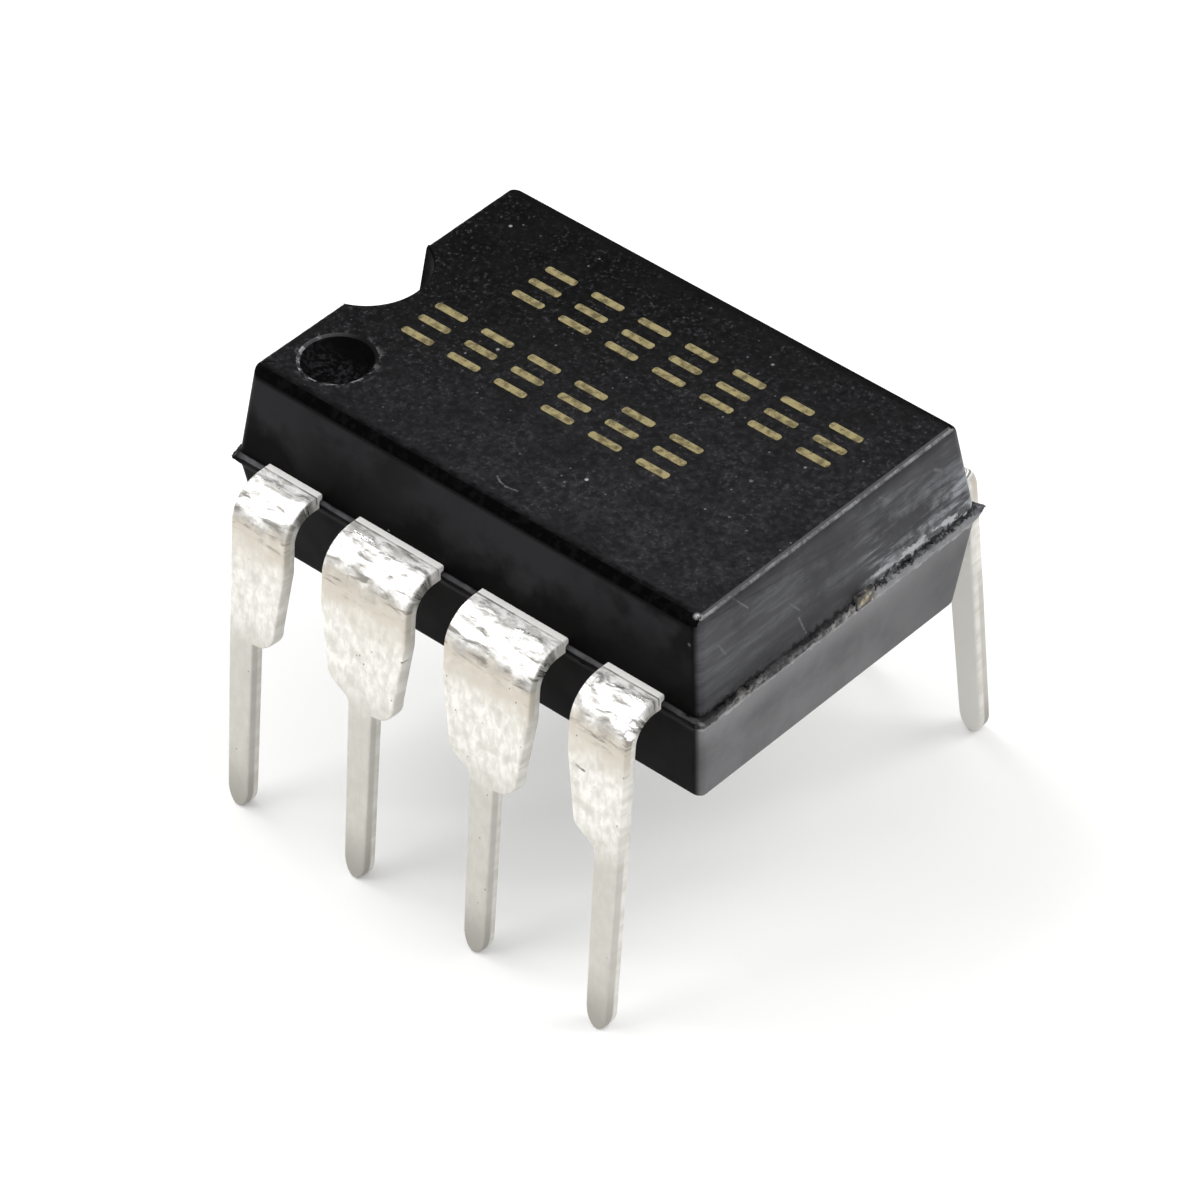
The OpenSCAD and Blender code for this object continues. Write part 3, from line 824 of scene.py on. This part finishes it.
def tin_plate():
    finish, tree, shader = new_finish("dipped_tin_plate")
    strip = add(tree, "ShaderNodeUVMap", uv_map="unrolled").outputs[0]
    along = add(tree, "ShaderNodeSeparateXYZ", {"Vector": strip}).outputs["Y"]
    depth = add(tree, "ShaderNodeAttribute", attribute_name="depth").outputs["Fac"]
    bead = add(tree, "ShaderNodeAttribute", attribute_name="bead").outputs["Fac"]
    wander = patches(tree, 2.2, 4.0, 0.5, on=strip)
    blotches = patches(tree, 3.6, 6.0, 0.5, on=strip)
    wavy = {0: along, 1: where(tree, (wander, 0.2, 0.8, -0.12, 0.12))}
    place = add(tree, "ShaderNodeMath", wavy).outputs[0]

    def streaks(across, lengthwise, detail):
        """Streaks, so many to a millimetre across the strip and along it."""
        stretched = add(tree, "ShaderNodeMapping", {"Vector": strip, "Scale": (across, lengthwise, 1)})
        return patches(tree, 1.0, detail, on=stretched.outputs[0], Distortion=0.4)

    dull_streaks = streaks(9.0, 4.0, 5.0)
    crinkles = streaks(2.0, 9.0, 7.0)
    fine_folds = streaks(3.5, 8.0, 5.0)
    dull = where(tree, (dull_streaks, 0.35, 0.65))
    crinkle_shade = where(tree, (crinkles, 0.5, 0.66))

    # the leg is dull and blotched, darker down the blade and darkest at the tip
    colour = layer(tree, "#dad7cf", "#f1efe9", dull)
    colour = layer(tree, colour, "#c4c1b8", (blotches, 0.45, 0.7, 0.0, 0.65))
    colour = layer(tree, colour, "#bcb9b1", (along, 2.4, 3.4, 0.0, 0.8))
    colour = layer(tree, colour, "#96938b", (along, 5.2, 6.4, 0.0, 0.85))
    # a tan band below the bend
    tan_band = (place, 0.7, 0.85), (place, 1.75, 1.05), (blotches, 0.3, 0.5, 0.7, 1.0)
    colour = layer(tree, colour, "#cbc3b6", *tan_band)
    # dark crinkles below the bend, painted as the shade in the folds
    colour = layer(tree, colour, "#807b73", (place, 0.55, 0.68), (place, 1.2, 0.9), crinkle_shade)

    # the bend is ironed bright, with dark crinkles painted as the shade and dark reflections in its folds,
    # fewer where it turns, and ends in smoky tin
    calm = where(tree, (place, 0.08, 0.18), (place, 0.44, 0.34))
    ironed = layer(tree, "#c9c7c3", "#fbfaf8", (fine_folds, 0.38, 0.56))
    ironed = layer(tree, ironed, "#76736d", crinkle_shade, (calm, 0.0, 1.0, 0.95, 0.35))
    colour = layer(tree, colour, ironed, (place, 0.9, 0.72))
    smoke = (place, 0.6, 0.72), (place, 1.0, 0.8), (blotches, 0.35, 0.6, 0.15, 0.6)
    colour = layer(tree, colour, "#8f8b84", *smoke)

    # the groove, painted dark as the shade in it, the clean strip next to the body, the beads of tin, the
    # marks and a few dark pits
    groove = (along, 0.065, 0.085), (along, 0.115, 0.1), (wander, 0.35, 0.6, 0.25, 0.85)
    colour = layer(tree, colour, "#6d6b66", *groove)
    colour = layer(tree, colour, "#f4f3f0", (along, 0.085, 0.07))
    # each bead is painted white as its highlight, with a ring of painted shade round its foot
    colour = layer(tree, colour, "#6e6b65", (bead, 0.0, 0.15), (bead, 0.42, 0.25), 0.5)
    colour = layer(tree, colour, "#ffffff", (bead, 0.28, 0.42))
    for start, end, width in LEAD_MARKS:
        colour = layer(tree, colour, "#3b3935", scratch(tree, start, end, width))
    pits = add(tree, "ShaderNodeTexVoronoi", {"Vector": strip, "Scale": 3.5}).outputs["Distance"]
    colour = layer(tree, colour, "#8a867c", (pits, 0.08, 0.04))

    # the side that faces the body is painted lighter, as painted light where the body shades it, and the
    # sheared edges are bare at the back
    colour = layer(tree, colour, "#f2f0ea", (depth, -0.08, -0.12, 0.0, 0.8))
    normal = add(tree, "ShaderNodeTexCoord").outputs["Normal"]
    lengthwise = add(tree, "ShaderNodeSeparateXYZ", {"Vector": normal}).outputs["X"]
    sideways = add(tree, "ShaderNodeMath", {0: lengthwise}, operation="ABSOLUTE").outputs[0]
    sheared = layer(tree, "#d3d0c8", "#e6e4de", dull)
    colour = layer(tree, colour, sheared, (sideways, 0.6, 0.85), (depth, 0.02, -0.03))

    # ironed tin shines as metal, and the crinkles make it duller again
    bright = where(tree, (place, 0.16, 0.3), (place, 0.85, 0.58))
    tree.links.new(where(tree, (bright, 0.0, 1.0, 0.1, 0.9)), shader.inputs["Metallic"])
    smooth = where(tree, (bright, 0.0, 1.0, 0.55, 0.24))
    crinkled = where(tree, (crinkles, 0.38, 0.58, 0.0, 0.28), bright)
    rough = add(tree, "ShaderNodeMath", {0: smooth, 1: crinkled}).outputs[0]
    folds = {0: where(tree, crinkles, bright), 1: where(tree, dull_streaks, 0.35)}
    relief = add(tree, "ShaderNodeMath", folds).outputs[0]
    dress(tree, shader, colour, relief, 0.75, 0.03, rough)
    return finish


LEAD_FINISH = tin_plate()

# %% [markdown]
# ## The leads
# A lead starts as a strip of sheet 0.25 mm thick. Its end section is drawn as a small upright rectangle
# at the inner end and pulled outwards step by step, to a new width each time, the way the strip widens.
# The spin tool carries the section round the bend, and more steps take it down the leg, over the
# shoulders and along the blade to the rounded point. The long edges are bevelled a little afterwards.

# %% Sizes of a lead
STUB = 0.2
BEND_R = 0.4
SPLAY = math.radians(5.5)
WIDE = 1.76
SHOULDER = 1.4
BLADE = 0.5
TIP = 0.44            # width of the blade where its round point starts
TIP_LEN = 0.38
SEAT_Z = 3.32         # the shoulders rest on a board here
TAPER_Z = LEAD_Z - 1  # the wide part starts to narrow here
SHOULDER_R = 0.4      # one shoulder is rounded
SLOPE_R = 0.15        # and the other slopes by 60 degrees, between two small curves
SLOPE_RISE = 0.433
SLOPE = math.radians(60)
LEAD_MID_R = BEND_R + LEAD_T / 2
BEND_ANGLE = math.pi / 2 - SPLAY
BEND_Y = WALL_Y + STUB
BEND_Z = LEAD_Z - LEAD_MID_R
DOWN = Vector((0, -math.sin(SPLAY), -math.cos(SPLAY)))        # the way down a front leg
OUTWARD = Vector((0, -math.cos(SPLAY), math.sin(SPLAY)))      # and the way out from its face
BEND_END = Vector((0, -BEND_Y, BEND_Z)) + OUTWARD * LEAD_MID_R
LEAD_EDGE_R = 0.03    # how round the long edges are


def rounded_half(rise):
    """Half width of the rounded shoulder at a height above the seat."""
    if rise <= 0:
        return BLADE / 2
    if rise >= SHOULDER_R:
        return SHOULDER / 2
    return SHOULDER / 2 - SHOULDER_R + math.sqrt(SHOULDER_R ** 2 - (SHOULDER_R - rise) ** 2)


def sloping_half(rise):
    """Half width of the sloping shoulder at a height above the seat."""
    low_end = SLOPE_R * math.sin(SLOPE)
    high_end = SLOPE_RISE - low_end
    if rise <= 0:
        return BLADE / 2
    if rise < low_end:
        return BLADE / 2 + SLOPE_R - math.sqrt(SLOPE_R ** 2 - rise ** 2)
    if rise < high_end:
        return BLADE / 2 + SLOPE_R / 2 + (rise - low_end) * math.tan(SLOPE)
    if rise < SLOPE_RISE:
        return SHOULDER / 2 - SLOPE_R + math.sqrt(SLOPE_R ** 2 - (SLOPE_RISE - rise) ** 2)
    return SHOULDER / 2


def leg_steps(left_shoulder, right_shoulder):
    """Height of each section down the leg, with its left and right edges."""
    steps = []
    rises = [SLOPE_RISE, 0.4, 0.36, 0.3, 0.24, 0.18, 0.13, 0.09, 0.05, 0.02, 0.0]
    wide = (WIDE / 2, WIDE / 2)
    sections = [(TAPER_Z + 0.3, wide), (TAPER_Z, wide)]
    sections += [(SEAT_Z + rise, (sloping_half(rise), rounded_half(rise))) for rise in rises]
    sections += [(2.6, (BLADE / 2 - 0.007, BLADE / 2 - 0.007)), (1.5, (BLADE / 2 - 0.018, BLADE / 2 - 0.018))]
    for z, (sloping, rounded) in sections:
        narrow = min(sloping, rounded, BLADE / 2)
        steps.append((z, -(sloping if left_shoulder else narrow), rounded if right_shoulder else narrow))
    for rise in (1.0, 0.8, 0.6, 0.42, 0.27, 0.14, 0.05, 0.0):
        half = TIP / 2 * math.sqrt(max(0.0, 1 - (1 - rise) ** 2))
        steps.append((TIP_LEN * rise, -max(half, 0.03), max(half, 0.03)))
    return steps


# %% Pull a section along
def place_section(left, right_point, thickness_way, thickness=LEAD_T):
    """Puts the selected end section between two points of the strip's middle plane."""
    mesh = bpy.context.object.data
    bm = bmesh.from_edit_mesh(mesh)
    corners = [v for v in bm.verts if v.select]
    middle = sum((v.co for v in corners), Vector()) / len(corners)
    for v in corners:
        point = left if v.co.x < middle.x else right_point
        side = 1 if (v.co - middle).dot(thickness_way) > 0 else -1
        v.co = point + thickness_way * side * thickness / 2
    bmesh.update_edit_mesh(mesh)


def pull(left, right_point, thickness_way, move):
    bpy.ops.mesh.extrude_region_move(TRANSFORM_OT_translate={"value": move})
    place_section(left, right_point, thickness_way)


# %% [markdown]
# Inside the body a middle lead runs straight in to the die, and an end lead slants to the corner of the
# paddle. Both have a round hole, which the resin fills to lock the lead in. None of this shows from
# outside, but a lead that is pulled out of the model is then a whole lead.

# %% Build one lead of each pattern
FINGER_Y = 1.4
FINGER_W = 0.8
NECK_Y = WALL_Y - 0.45
END_FINGER_X = 1.8
END_FINGER_Y = 1.3
END_FINGER_W = 0.4
LOCK_R = 0.25


def inner_sections(number, middle, left_edge, right_edge):
    """Left and right points of the flat sections inside the body, from the inner end out."""
    neck = [(left_edge, -NECK_Y), (right_edge, -NECK_Y)]
    if number in (2, 3):
        return [[(middle - FINGER_W / 2, -FINGER_Y), (middle + FINGER_W / 2, -FINGER_Y)], neck]
    mirror = 1 if number == 1 else -1
    half = END_FINGER_W / 2
    inner = (-END_FINGER_X * mirror, -END_FINGER_Y + half)
    outer = ((-END_FINGER_X - END_FINGER_W) * mirror, -END_FINGER_Y + half)
    low_inner = (-END_FINGER_X * mirror, -END_FINGER_Y - half)
    outer_edge = left_edge if number == 1 else right_edge
    share = 0.2
    low_outer = (
        outer[0] + (outer_edge - outer[0]) * share,
        outer[1] + (-NECK_Y - outer[1]) * share,
    )
    pairs = [(outer, inner), (low_outer, low_inner)]
    if number == 4:
        pairs = [(second, first) for first, second in pairs]
    return [list(pair) for pair in pairs] + [neck]


def flat_map_of(point, middle):
    """Where a point of a bent front lead lies on its strip: across, along from the body, and in depth."""
    out = -point.y - WALL_Y
    if out <= STUB:
        return point.x - middle, out, point.z - LEAD_Z
    dy, dz = -point.y - BEND_Y, point.z - BEND_Z
    turned = math.atan2(dy, dz)
    if turned < BEND_ANGLE:
        return point.x - middle, STUB + LEAD_MID_R * turned, math.hypot(dy, dz) - LEAD_MID_R
    gone = point - BEND_END
    return point.x - middle, STUB + LEAD_MID_R * BEND_ANGLE + gone.dot(DOWN), gone.dot(OUTWARD)


def build_lead(number):
    """A front lead in millimetres, at its place in the row."""
    middle = (number - 2.5) * PITCH
    left_shoulder, right_shoulder = number > 1, number < 4
    left_edge = middle - (WIDE if left_shoulder else BLADE) / 2
    right_edge = middle + (WIDE if right_shoulder else BLADE) / 2
    sections = inner_sections(number, middle, left_edge, right_edge)
    start_clean()
    bpy.ops.mesh.primitive_plane_add(size=0.2, location=(middle, -1, LEAD_Z), rotation=(math.pi / 2, 0, 0))
    made = bpy.context.object
    bpy.ops.object.transform_apply(location=True, rotation=True, scale=True)
    bpy.ops.object.mode_set(mode="EDIT")
    bpy.ops.mesh.select_mode(type="FACE")
    bpy.ops.mesh.select_all(action="SELECT")
    flat = [[Vector((*left, LEAD_Z)), Vector((*right_point, LEAD_Z))] for left, right_point in sections]
    place_section(*flat[0], UP)
    for left, right_point in flat[1:]:
        pull(left, right_point, UP, (0, -0.1, 0))
    for y in (-WALL_Y, -WALL_Y - STUB / 2, -BEND_Y):
        pull(Vector((left_edge, y, LEAD_Z)), Vector((right_edge, y, LEAD_Z)), UP, (0, -0.1, 0))
    bpy.ops.mesh.spin(
        steps=16, angle=-BEND_ANGLE, center=(middle, -BEND_Y, BEND_Z), axis=(1, 0, 0),
        use_auto_merge=False, use_normal_flip=False,
    )
    for z, left, right_side in leg_steps(left_shoulder, right_shoulder):
        point = BEND_END + DOWN * (BEND_END.z - z) / math.cos(SPLAY) + ALONG * middle
        pull(point + ALONG * left, point + ALONG * right_side, OUTWARD, DOWN * 0.01)
    bpy.ops.mesh.select_all(action="SELECT")
    bpy.ops.mesh.remove_doubles(threshold=SAME_POINT)
    bpy.ops.mesh.normals_make_consistent(inside=False)
    bpy.ops.object.mode_set(mode="OBJECT")
    start_clean()
    lock_x = (left_edge + right_edge) / 2
    cut_out(made, pin(LOCK_R, LOCK_R, (lock_x, -WALL_Y + 0.5), LEAD_Z - LEAD_T, LEAD_Z + LEAD_T))
    bpy.ops.object.mode_set(mode="EDIT")
    select_edges(lambda e: e.is_manifold and e.calc_face_angle() > 0.9)
    bpy.ops.mesh.bevel(offset=LEAD_EDGE_R, segments=3, affect="EDGES")
    return made, middle


# %% [markdown]
# The bevelled strip has long faces, which can carry no crinkles. Flat cuts across it and along it give
# the bend small faces. Each lead then gets its own noise: fine folds across the bend that push the skin
# in and out by a few hundredths of a millimetre, the groove just outside the body, and a slight wave
# down the leg, since no dipped lead is perfectly flat.

# %% Cut, map and crinkle the leads
STRIP_STEP = 0.066    # width of one face across the strip
GROOVE_STEP = 0.025   # length of one at the groove
LEG_STEP = 0.16       # and down the leg
FOLD_H = 0.011        # how far the folds, the slow wave and the beads push the skin out
WAVE_H = 0.012
BEAD_H = 0.065
GROOVE_H = 0.003      # and how deep the groove is
# where beads of tin were left on the bend of a lead: across, along and radius
BEADS = {4: [(0.24, 0.72, 0.085), (0.22, 0.58, 0.055), (-0.72, 0.33, 0.05)]}


def cut_finely(middle):
    cuts = [((middle + step * STRIP_STEP, 0, 0), ALONG) for step in range(-13, 14)]
    cuts += [((middle, -WALL_Y - 0.07 - step * GROOVE_STEP, LEAD_Z), ACROSS) for step in range(4)]
    cuts += [((middle, 0, LEAD_Z - 0.55 - step * LEG_STEP), UP) for step in range(34)]
    for place, across in cuts:
        bpy.ops.mesh.select_all(action="SELECT")
        bpy.ops.mesh.bisect(plane_co=place, plane_no=across, threshold=SAME_POINT)


def crinkle_lead(mesh, middle, number):
    """Maps the lead as a flat strip and pushes its skin in and out, with a pattern of its own."""
    seed = number * 3.0
    flat_map = mesh.uv_layers.new(name="unrolled")
    depth = mesh.attributes.new("depth", "FLOAT", "POINT")
    bead = mesh.attributes.new("bead", "FLOAT", "POINT")
    places = [flat_map_of(vertex.co, middle) for vertex in mesh.vertices]
    for loop in mesh.loops:
        across, along, _ = places[loop.vertex_index]
        flat_map.data[loop.index].uv = (across + seed, along)
    normals = [vertex.normal.copy() for vertex in mesh.vertices]
    for vertex, (across, along, inside) in zip(mesh.vertices, places):
        depth.data[vertex.index].value = inside
        if along < 0.05 or inside < 0.02:
            continue
        folds = noise.noise(Vector((across * 2.2 + seed, along * 9, seed)))
        folds += 0.6 * noise.noise(Vector((across * 6 + seed, along * 17, seed)))
        wave = noise.noise(Vector((across * 1.1 + seed, along * 0.9, seed * 2)))
        in_bend = max(0.0, 1 - abs(along - 0.55) / 0.45)
        groove = max(0.0, 1 - abs(along - 0.095) / 0.025)
        height = FOLD_H * folds * min(1.0, in_bend * 2) + WAVE_H * wave * min(1.0, along * 2)
        height -= GROOVE_H * groove
        height *= (1 - abs(normals[vertex.index].x)) ** 2
        for bead_across, bead_along, bead_r in BEADS.get(number, []):
            near = max(0.0, 1 - math.hypot(across - bead_across, along - bead_along) / bead_r)
            height += BEAD_H * near ** 0.5
            bead.data[vertex.index].value = max(bead.data[vertex.index].value, near)
        vertex.co += normals[vertex.index] * height


patterns = {}
for number in (1, 2, 4):
    pattern, middle = build_lead(number)
    cut_finely(middle)
    bpy.ops.object.mode_set(mode="OBJECT")
    pattern.name = f"lead_pattern_{number}"
    patterns[number] = (pattern, middle)
    report(pattern)

for number in range(1, 9):
    front = number if number < 5 else number - 4
    pattern, middle = patterns[2 if front == 3 else front]
    lead = pattern.copy()
    lead.data = pattern.data.copy()
    lead.name = f"tinned_lead_{number}"
    bpy.context.scene.collection.objects.link(lead)
    crinkle_lead(lead.data, middle, number)
    if front == 3:
        lead.location.x = PITCH
    make_active(lead)
    bpy.ops.object.transform_apply(location=True, rotation=False, scale=False)
    if number > 4:
        lead.data.transform(Matrix.Rotation(math.pi, 4, "Z"))
    to_metres(lead)
    bpy.ops.object.shade_smooth_by_angle(angle=math.radians(40))
    lead.data.materials.append(LEAD_FINISH)
    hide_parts(f"lead_{number}")
    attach(lead, "root")
for pattern, middle in patterns.values():
    bpy.data.objects.remove(pattern)

# %% [markdown]
# ## Generic marking
# A chip is marked with a thin skin of ink or laser-raised resin. The marking of this one isn't copied:
# two rows of plain short bars, three to a place, stand where a marking would. One bar is modelled with
# round corners and copied to every place, a few thousandths of a millimetre proud of the top.

# %% Marking ink
def marking_ink():
    finish, tree, shader = new_finish("khaki_marking_ink", Roughness=0.6, Specular_IOR_Level=0.3)
    worn = patches(tree, 7.0, 4.0, 0.65)
    colour = layer(tree, "#564d31", "#8d825a", (worn, 0.35, 0.6))
    dress(tree, shader, colour, worn, 0.3, 0.003)
    return finish


INK_FINISH = marking_ink()
BAR_LEN = 0.62
BAR_WID = 0.14
BAR_R = 0.05
INK_T = 0.006
SUNK = 0.01           # how deep the bars reach into the top, so that no gap shows under them
ROW_H = 0.9           # height of a row
PLACE_STEP = 0.965    # from one place of a row to the next
# middle of the first place of each row, and how many places it has
MARK_ROWS = [(-2.42, 1.35, 7), (-3.1, -0.42, 6)]

start_clean()
bpy.ops.mesh.primitive_cube_add(size=1, location=(0, 0, 0))
bar = bpy.context.object
bpy.ops.object.mode_set(mode="EDIT")
bpy.ops.transform.resize(value=(BAR_LEN, BAR_WID, INK_T + SUNK))
select_edges(lambda e: abs(e.verts[0].co.z - e.verts[1].co.z) > 0.005)
bpy.ops.mesh.bevel(offset=BAR_R, segments=4, affect="EDGES")
bpy.ops.object.mode_set(mode="OBJECT")
marks = []
for first_x, row_y, places in MARK_ROWS:
    for place in range(places):
        for level_at in (-1, 0, 1):
            mark = bar.copy()
            mark.data = bar.data.copy()
            mark_x = first_x + place * PLACE_STEP
            mark_y = row_y + level_at * (ROW_H - BAR_WID) / 2
            mark.location = (mark_x, mark_y, BODY_TOP + (INK_T - SUNK) / 2)
            bpy.context.scene.collection.objects.link(mark)
            marks.append(mark)
bpy.data.objects.remove(bar)
start_clean()
for mark in marks:
    mark.select_set(True)
bpy.context.view_layer.objects.active = marks[0]
bpy.ops.object.join()
marking = bpy.context.object
marking.name = "marking_bars"
bpy.ops.object.transform_apply(location=True, rotation=True, scale=True)
to_metres(marking)
marking.data.materials.append(INK_FINISH)
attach(marking, "root")
report(marking)

# %% [markdown]
# ## Pieces inside the body
# The paddle, the die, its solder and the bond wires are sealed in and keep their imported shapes. Only the
# sheared ends of the paddle's tie bars show, as small brassy patches in the end faces, smeared with
# resin. Each still gets the finish of the real thing: rolled strip, dull solder, polished silicon, gold.

# %% Finishes inside
def rolled_strip():
    finish, tree, shader = new_finish("rolled_copper_alloy")
    rolling = patches(tree, 2.0, 4.0, 0.5, on=millimetres(tree, (1, 14, 14)))
    smear = patches(tree, 9.0, 4.0, 0.5)
    metal = layer(tree, "#c7b88c", "#e6ddbb", (rolling, 0.3, 0.7))
    outwards = add(tree, "ShaderNodeMath", {0: position(tree)["X"]}, operation="ABSOLUTE").outputs[0]
    cut_face = where(tree, (outwards, 4.6, 4.7), (smear, 0.74, 0.66))
    # resin over the cut end, with a patch of yellow metal and a painted highlight on the bare metal
    resin = layer(tree, "#2a2927", "#575653", (smear, 0.4, 0.6))
    resin = layer(tree, resin, "#a8976a", scratch(tree, (4.78, 0.42, 5.92), (4.78, 0.56, 5.94), 0.12))
    resin = layer(tree, resin, "#fffaf0", scratch(tree, (4.78, 0.53, 5.96), (4.78, 0.6, 5.97), 0.07))
    colour = layer(tree, metal, resin, cut_face)
    tree.links.new(where(tree, (cut_face, 0.2, 0.8, 1.0, 0.0)), shader.inputs["Metallic"])
    dress(tree, shader, colour, rolling, 0.3, 0.004, (smear, 0.3, 0.7, 0.6, 0.35))
    return finish


def cloudy(name, dark, light, per_mm, rough_from, rough_to, **constants):
    """A finish that is clouded between two colours, for the small sealed pieces."""
    finish, tree, shader = new_finish(name, **constants)
    clouds = patches(tree, per_mm, 4.0, 0.5)
    colour = layer(tree, dark, light, (clouds, 0.35, 0.65))
    dress(tree, shader, colour, clouds, 0.2, 0.002, (clouds, 0.3, 0.7, rough_from, rough_to))
    return finish


INSIDE = {
    "die_paddle": rolled_strip(),
    "die_attach": cloudy("dull_solder", "#7d7f84", "#a5a7ab", 5.0, 0.45, 0.6, Metallic=1.0),
    "silicon_die": cloudy("polished_silicon", "#3c4250", "#565e70", 2.0, 0.12, 0.2, Metallic=0.4),
}
GOLD = cloudy("drawn_gold", "#c99a35", "#e3bd5b", 20.0, 0.2, 0.3, Metallic=1.0)
for number in range(1, 9):
    INSIDE[f"bond_wire_{number}"] = GOLD
for name, finish in INSIDE.items():
    cad[name].data.materials.clear()
    cad[name].data.materials.append(finish)
print("pieces inside with a finish:", len(INSIDE))

# %% [markdown]
# ## Floor and light
# A plain pale floor and soft light. The world is an even grey dome, a large lamp behind on the right
# gives the shadow, a second large lamp in front on the left lights the leads, and a smaller one stands
# high on the left. The floor's colour is lifted to white for what the camera and the shiny metal see,
# and still takes the shadow.

# %% Floor
FLOOR_LIFT = 0.2


def pale_floor():
    finish, tree, shader = new_finish("pale_floor", Roughness=0.9, Specular_IOR_Level=0.1)
    shader.inputs["Base Color"].default_value = tint("#e9e9e8")
    path = add(tree, "ShaderNodeLightPath").outputs
    seen = path["Is Camera Ray"]
    for ray in ("Is Glossy Ray", "Is Transmission Ray"):
        seen = add(tree, "ShaderNodeMath", {0: seen, 1: path[ray]}, operation="MAXIMUM").outputs[0]
    shader.inputs["Emission Color"].default_value = (1, 1, 1, 1)
    tree.links.new(where(tree, seen, FLOOR_LIFT), shader.inputs["Emission Strength"])
    return finish


start_clean()
bpy.ops.mesh.primitive_plane_add(size=4, location=(0, 0, 0))
floor = bpy.context.object
floor.name = "floor"
floor.data.materials.append(pale_floor())
floor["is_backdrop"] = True

# %% Lamps
WORLD_LEVEL = 0.75


def soft_lamp(name, place, size, power):
    """A square lamp that faces the middle of the object."""
    data = bpy.data.lights.new(name, "AREA")
    data.size = size
    data.energy = power
    lamp = bpy.data.objects.new(name, data)
    lamp.location = place
    aim = Vector((0, 0, LEAD_Z * MM)) - lamp.location
    lamp.rotation_euler = aim.to_track_quat("-Z", "Y").to_euler()
    bpy.context.scene.collection.objects.link(lamp)
    print(name, "of", power, "W")


soft_lamp("key_lamp", Vector((0.12, 0.14, 0.22)), 0.14, 0.26)
soft_lamp("front_lamp", Vector((-0.13, -0.17, 0.13)), 0.14, 0.23)
soft_lamp("overhead_lamp", Vector((-0.11, 0.0, 0.19)), 0.09, 0.115)
world = bpy.data.worlds.new("even_dome")
world.use_nodes = True
world.node_tree.nodes["Background"].inputs["Color"].default_value = (1, 1, 1, 1)
world.node_tree.nodes["Background"].inputs["Strength"].default_value = WORLD_LEVEL
bpy.context.scene.world = world
bpy.context.scene.view_settings.view_transform = "Standard"

# %% Sizes of the packed and the dressed model
dressed_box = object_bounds()
for name, (low, high) in (("packed", cad_box), ("dressed", dressed_box)):
    print(name, "size in mm:", [round((b - a) / MM, 3) for a, b in zip(low, high)])
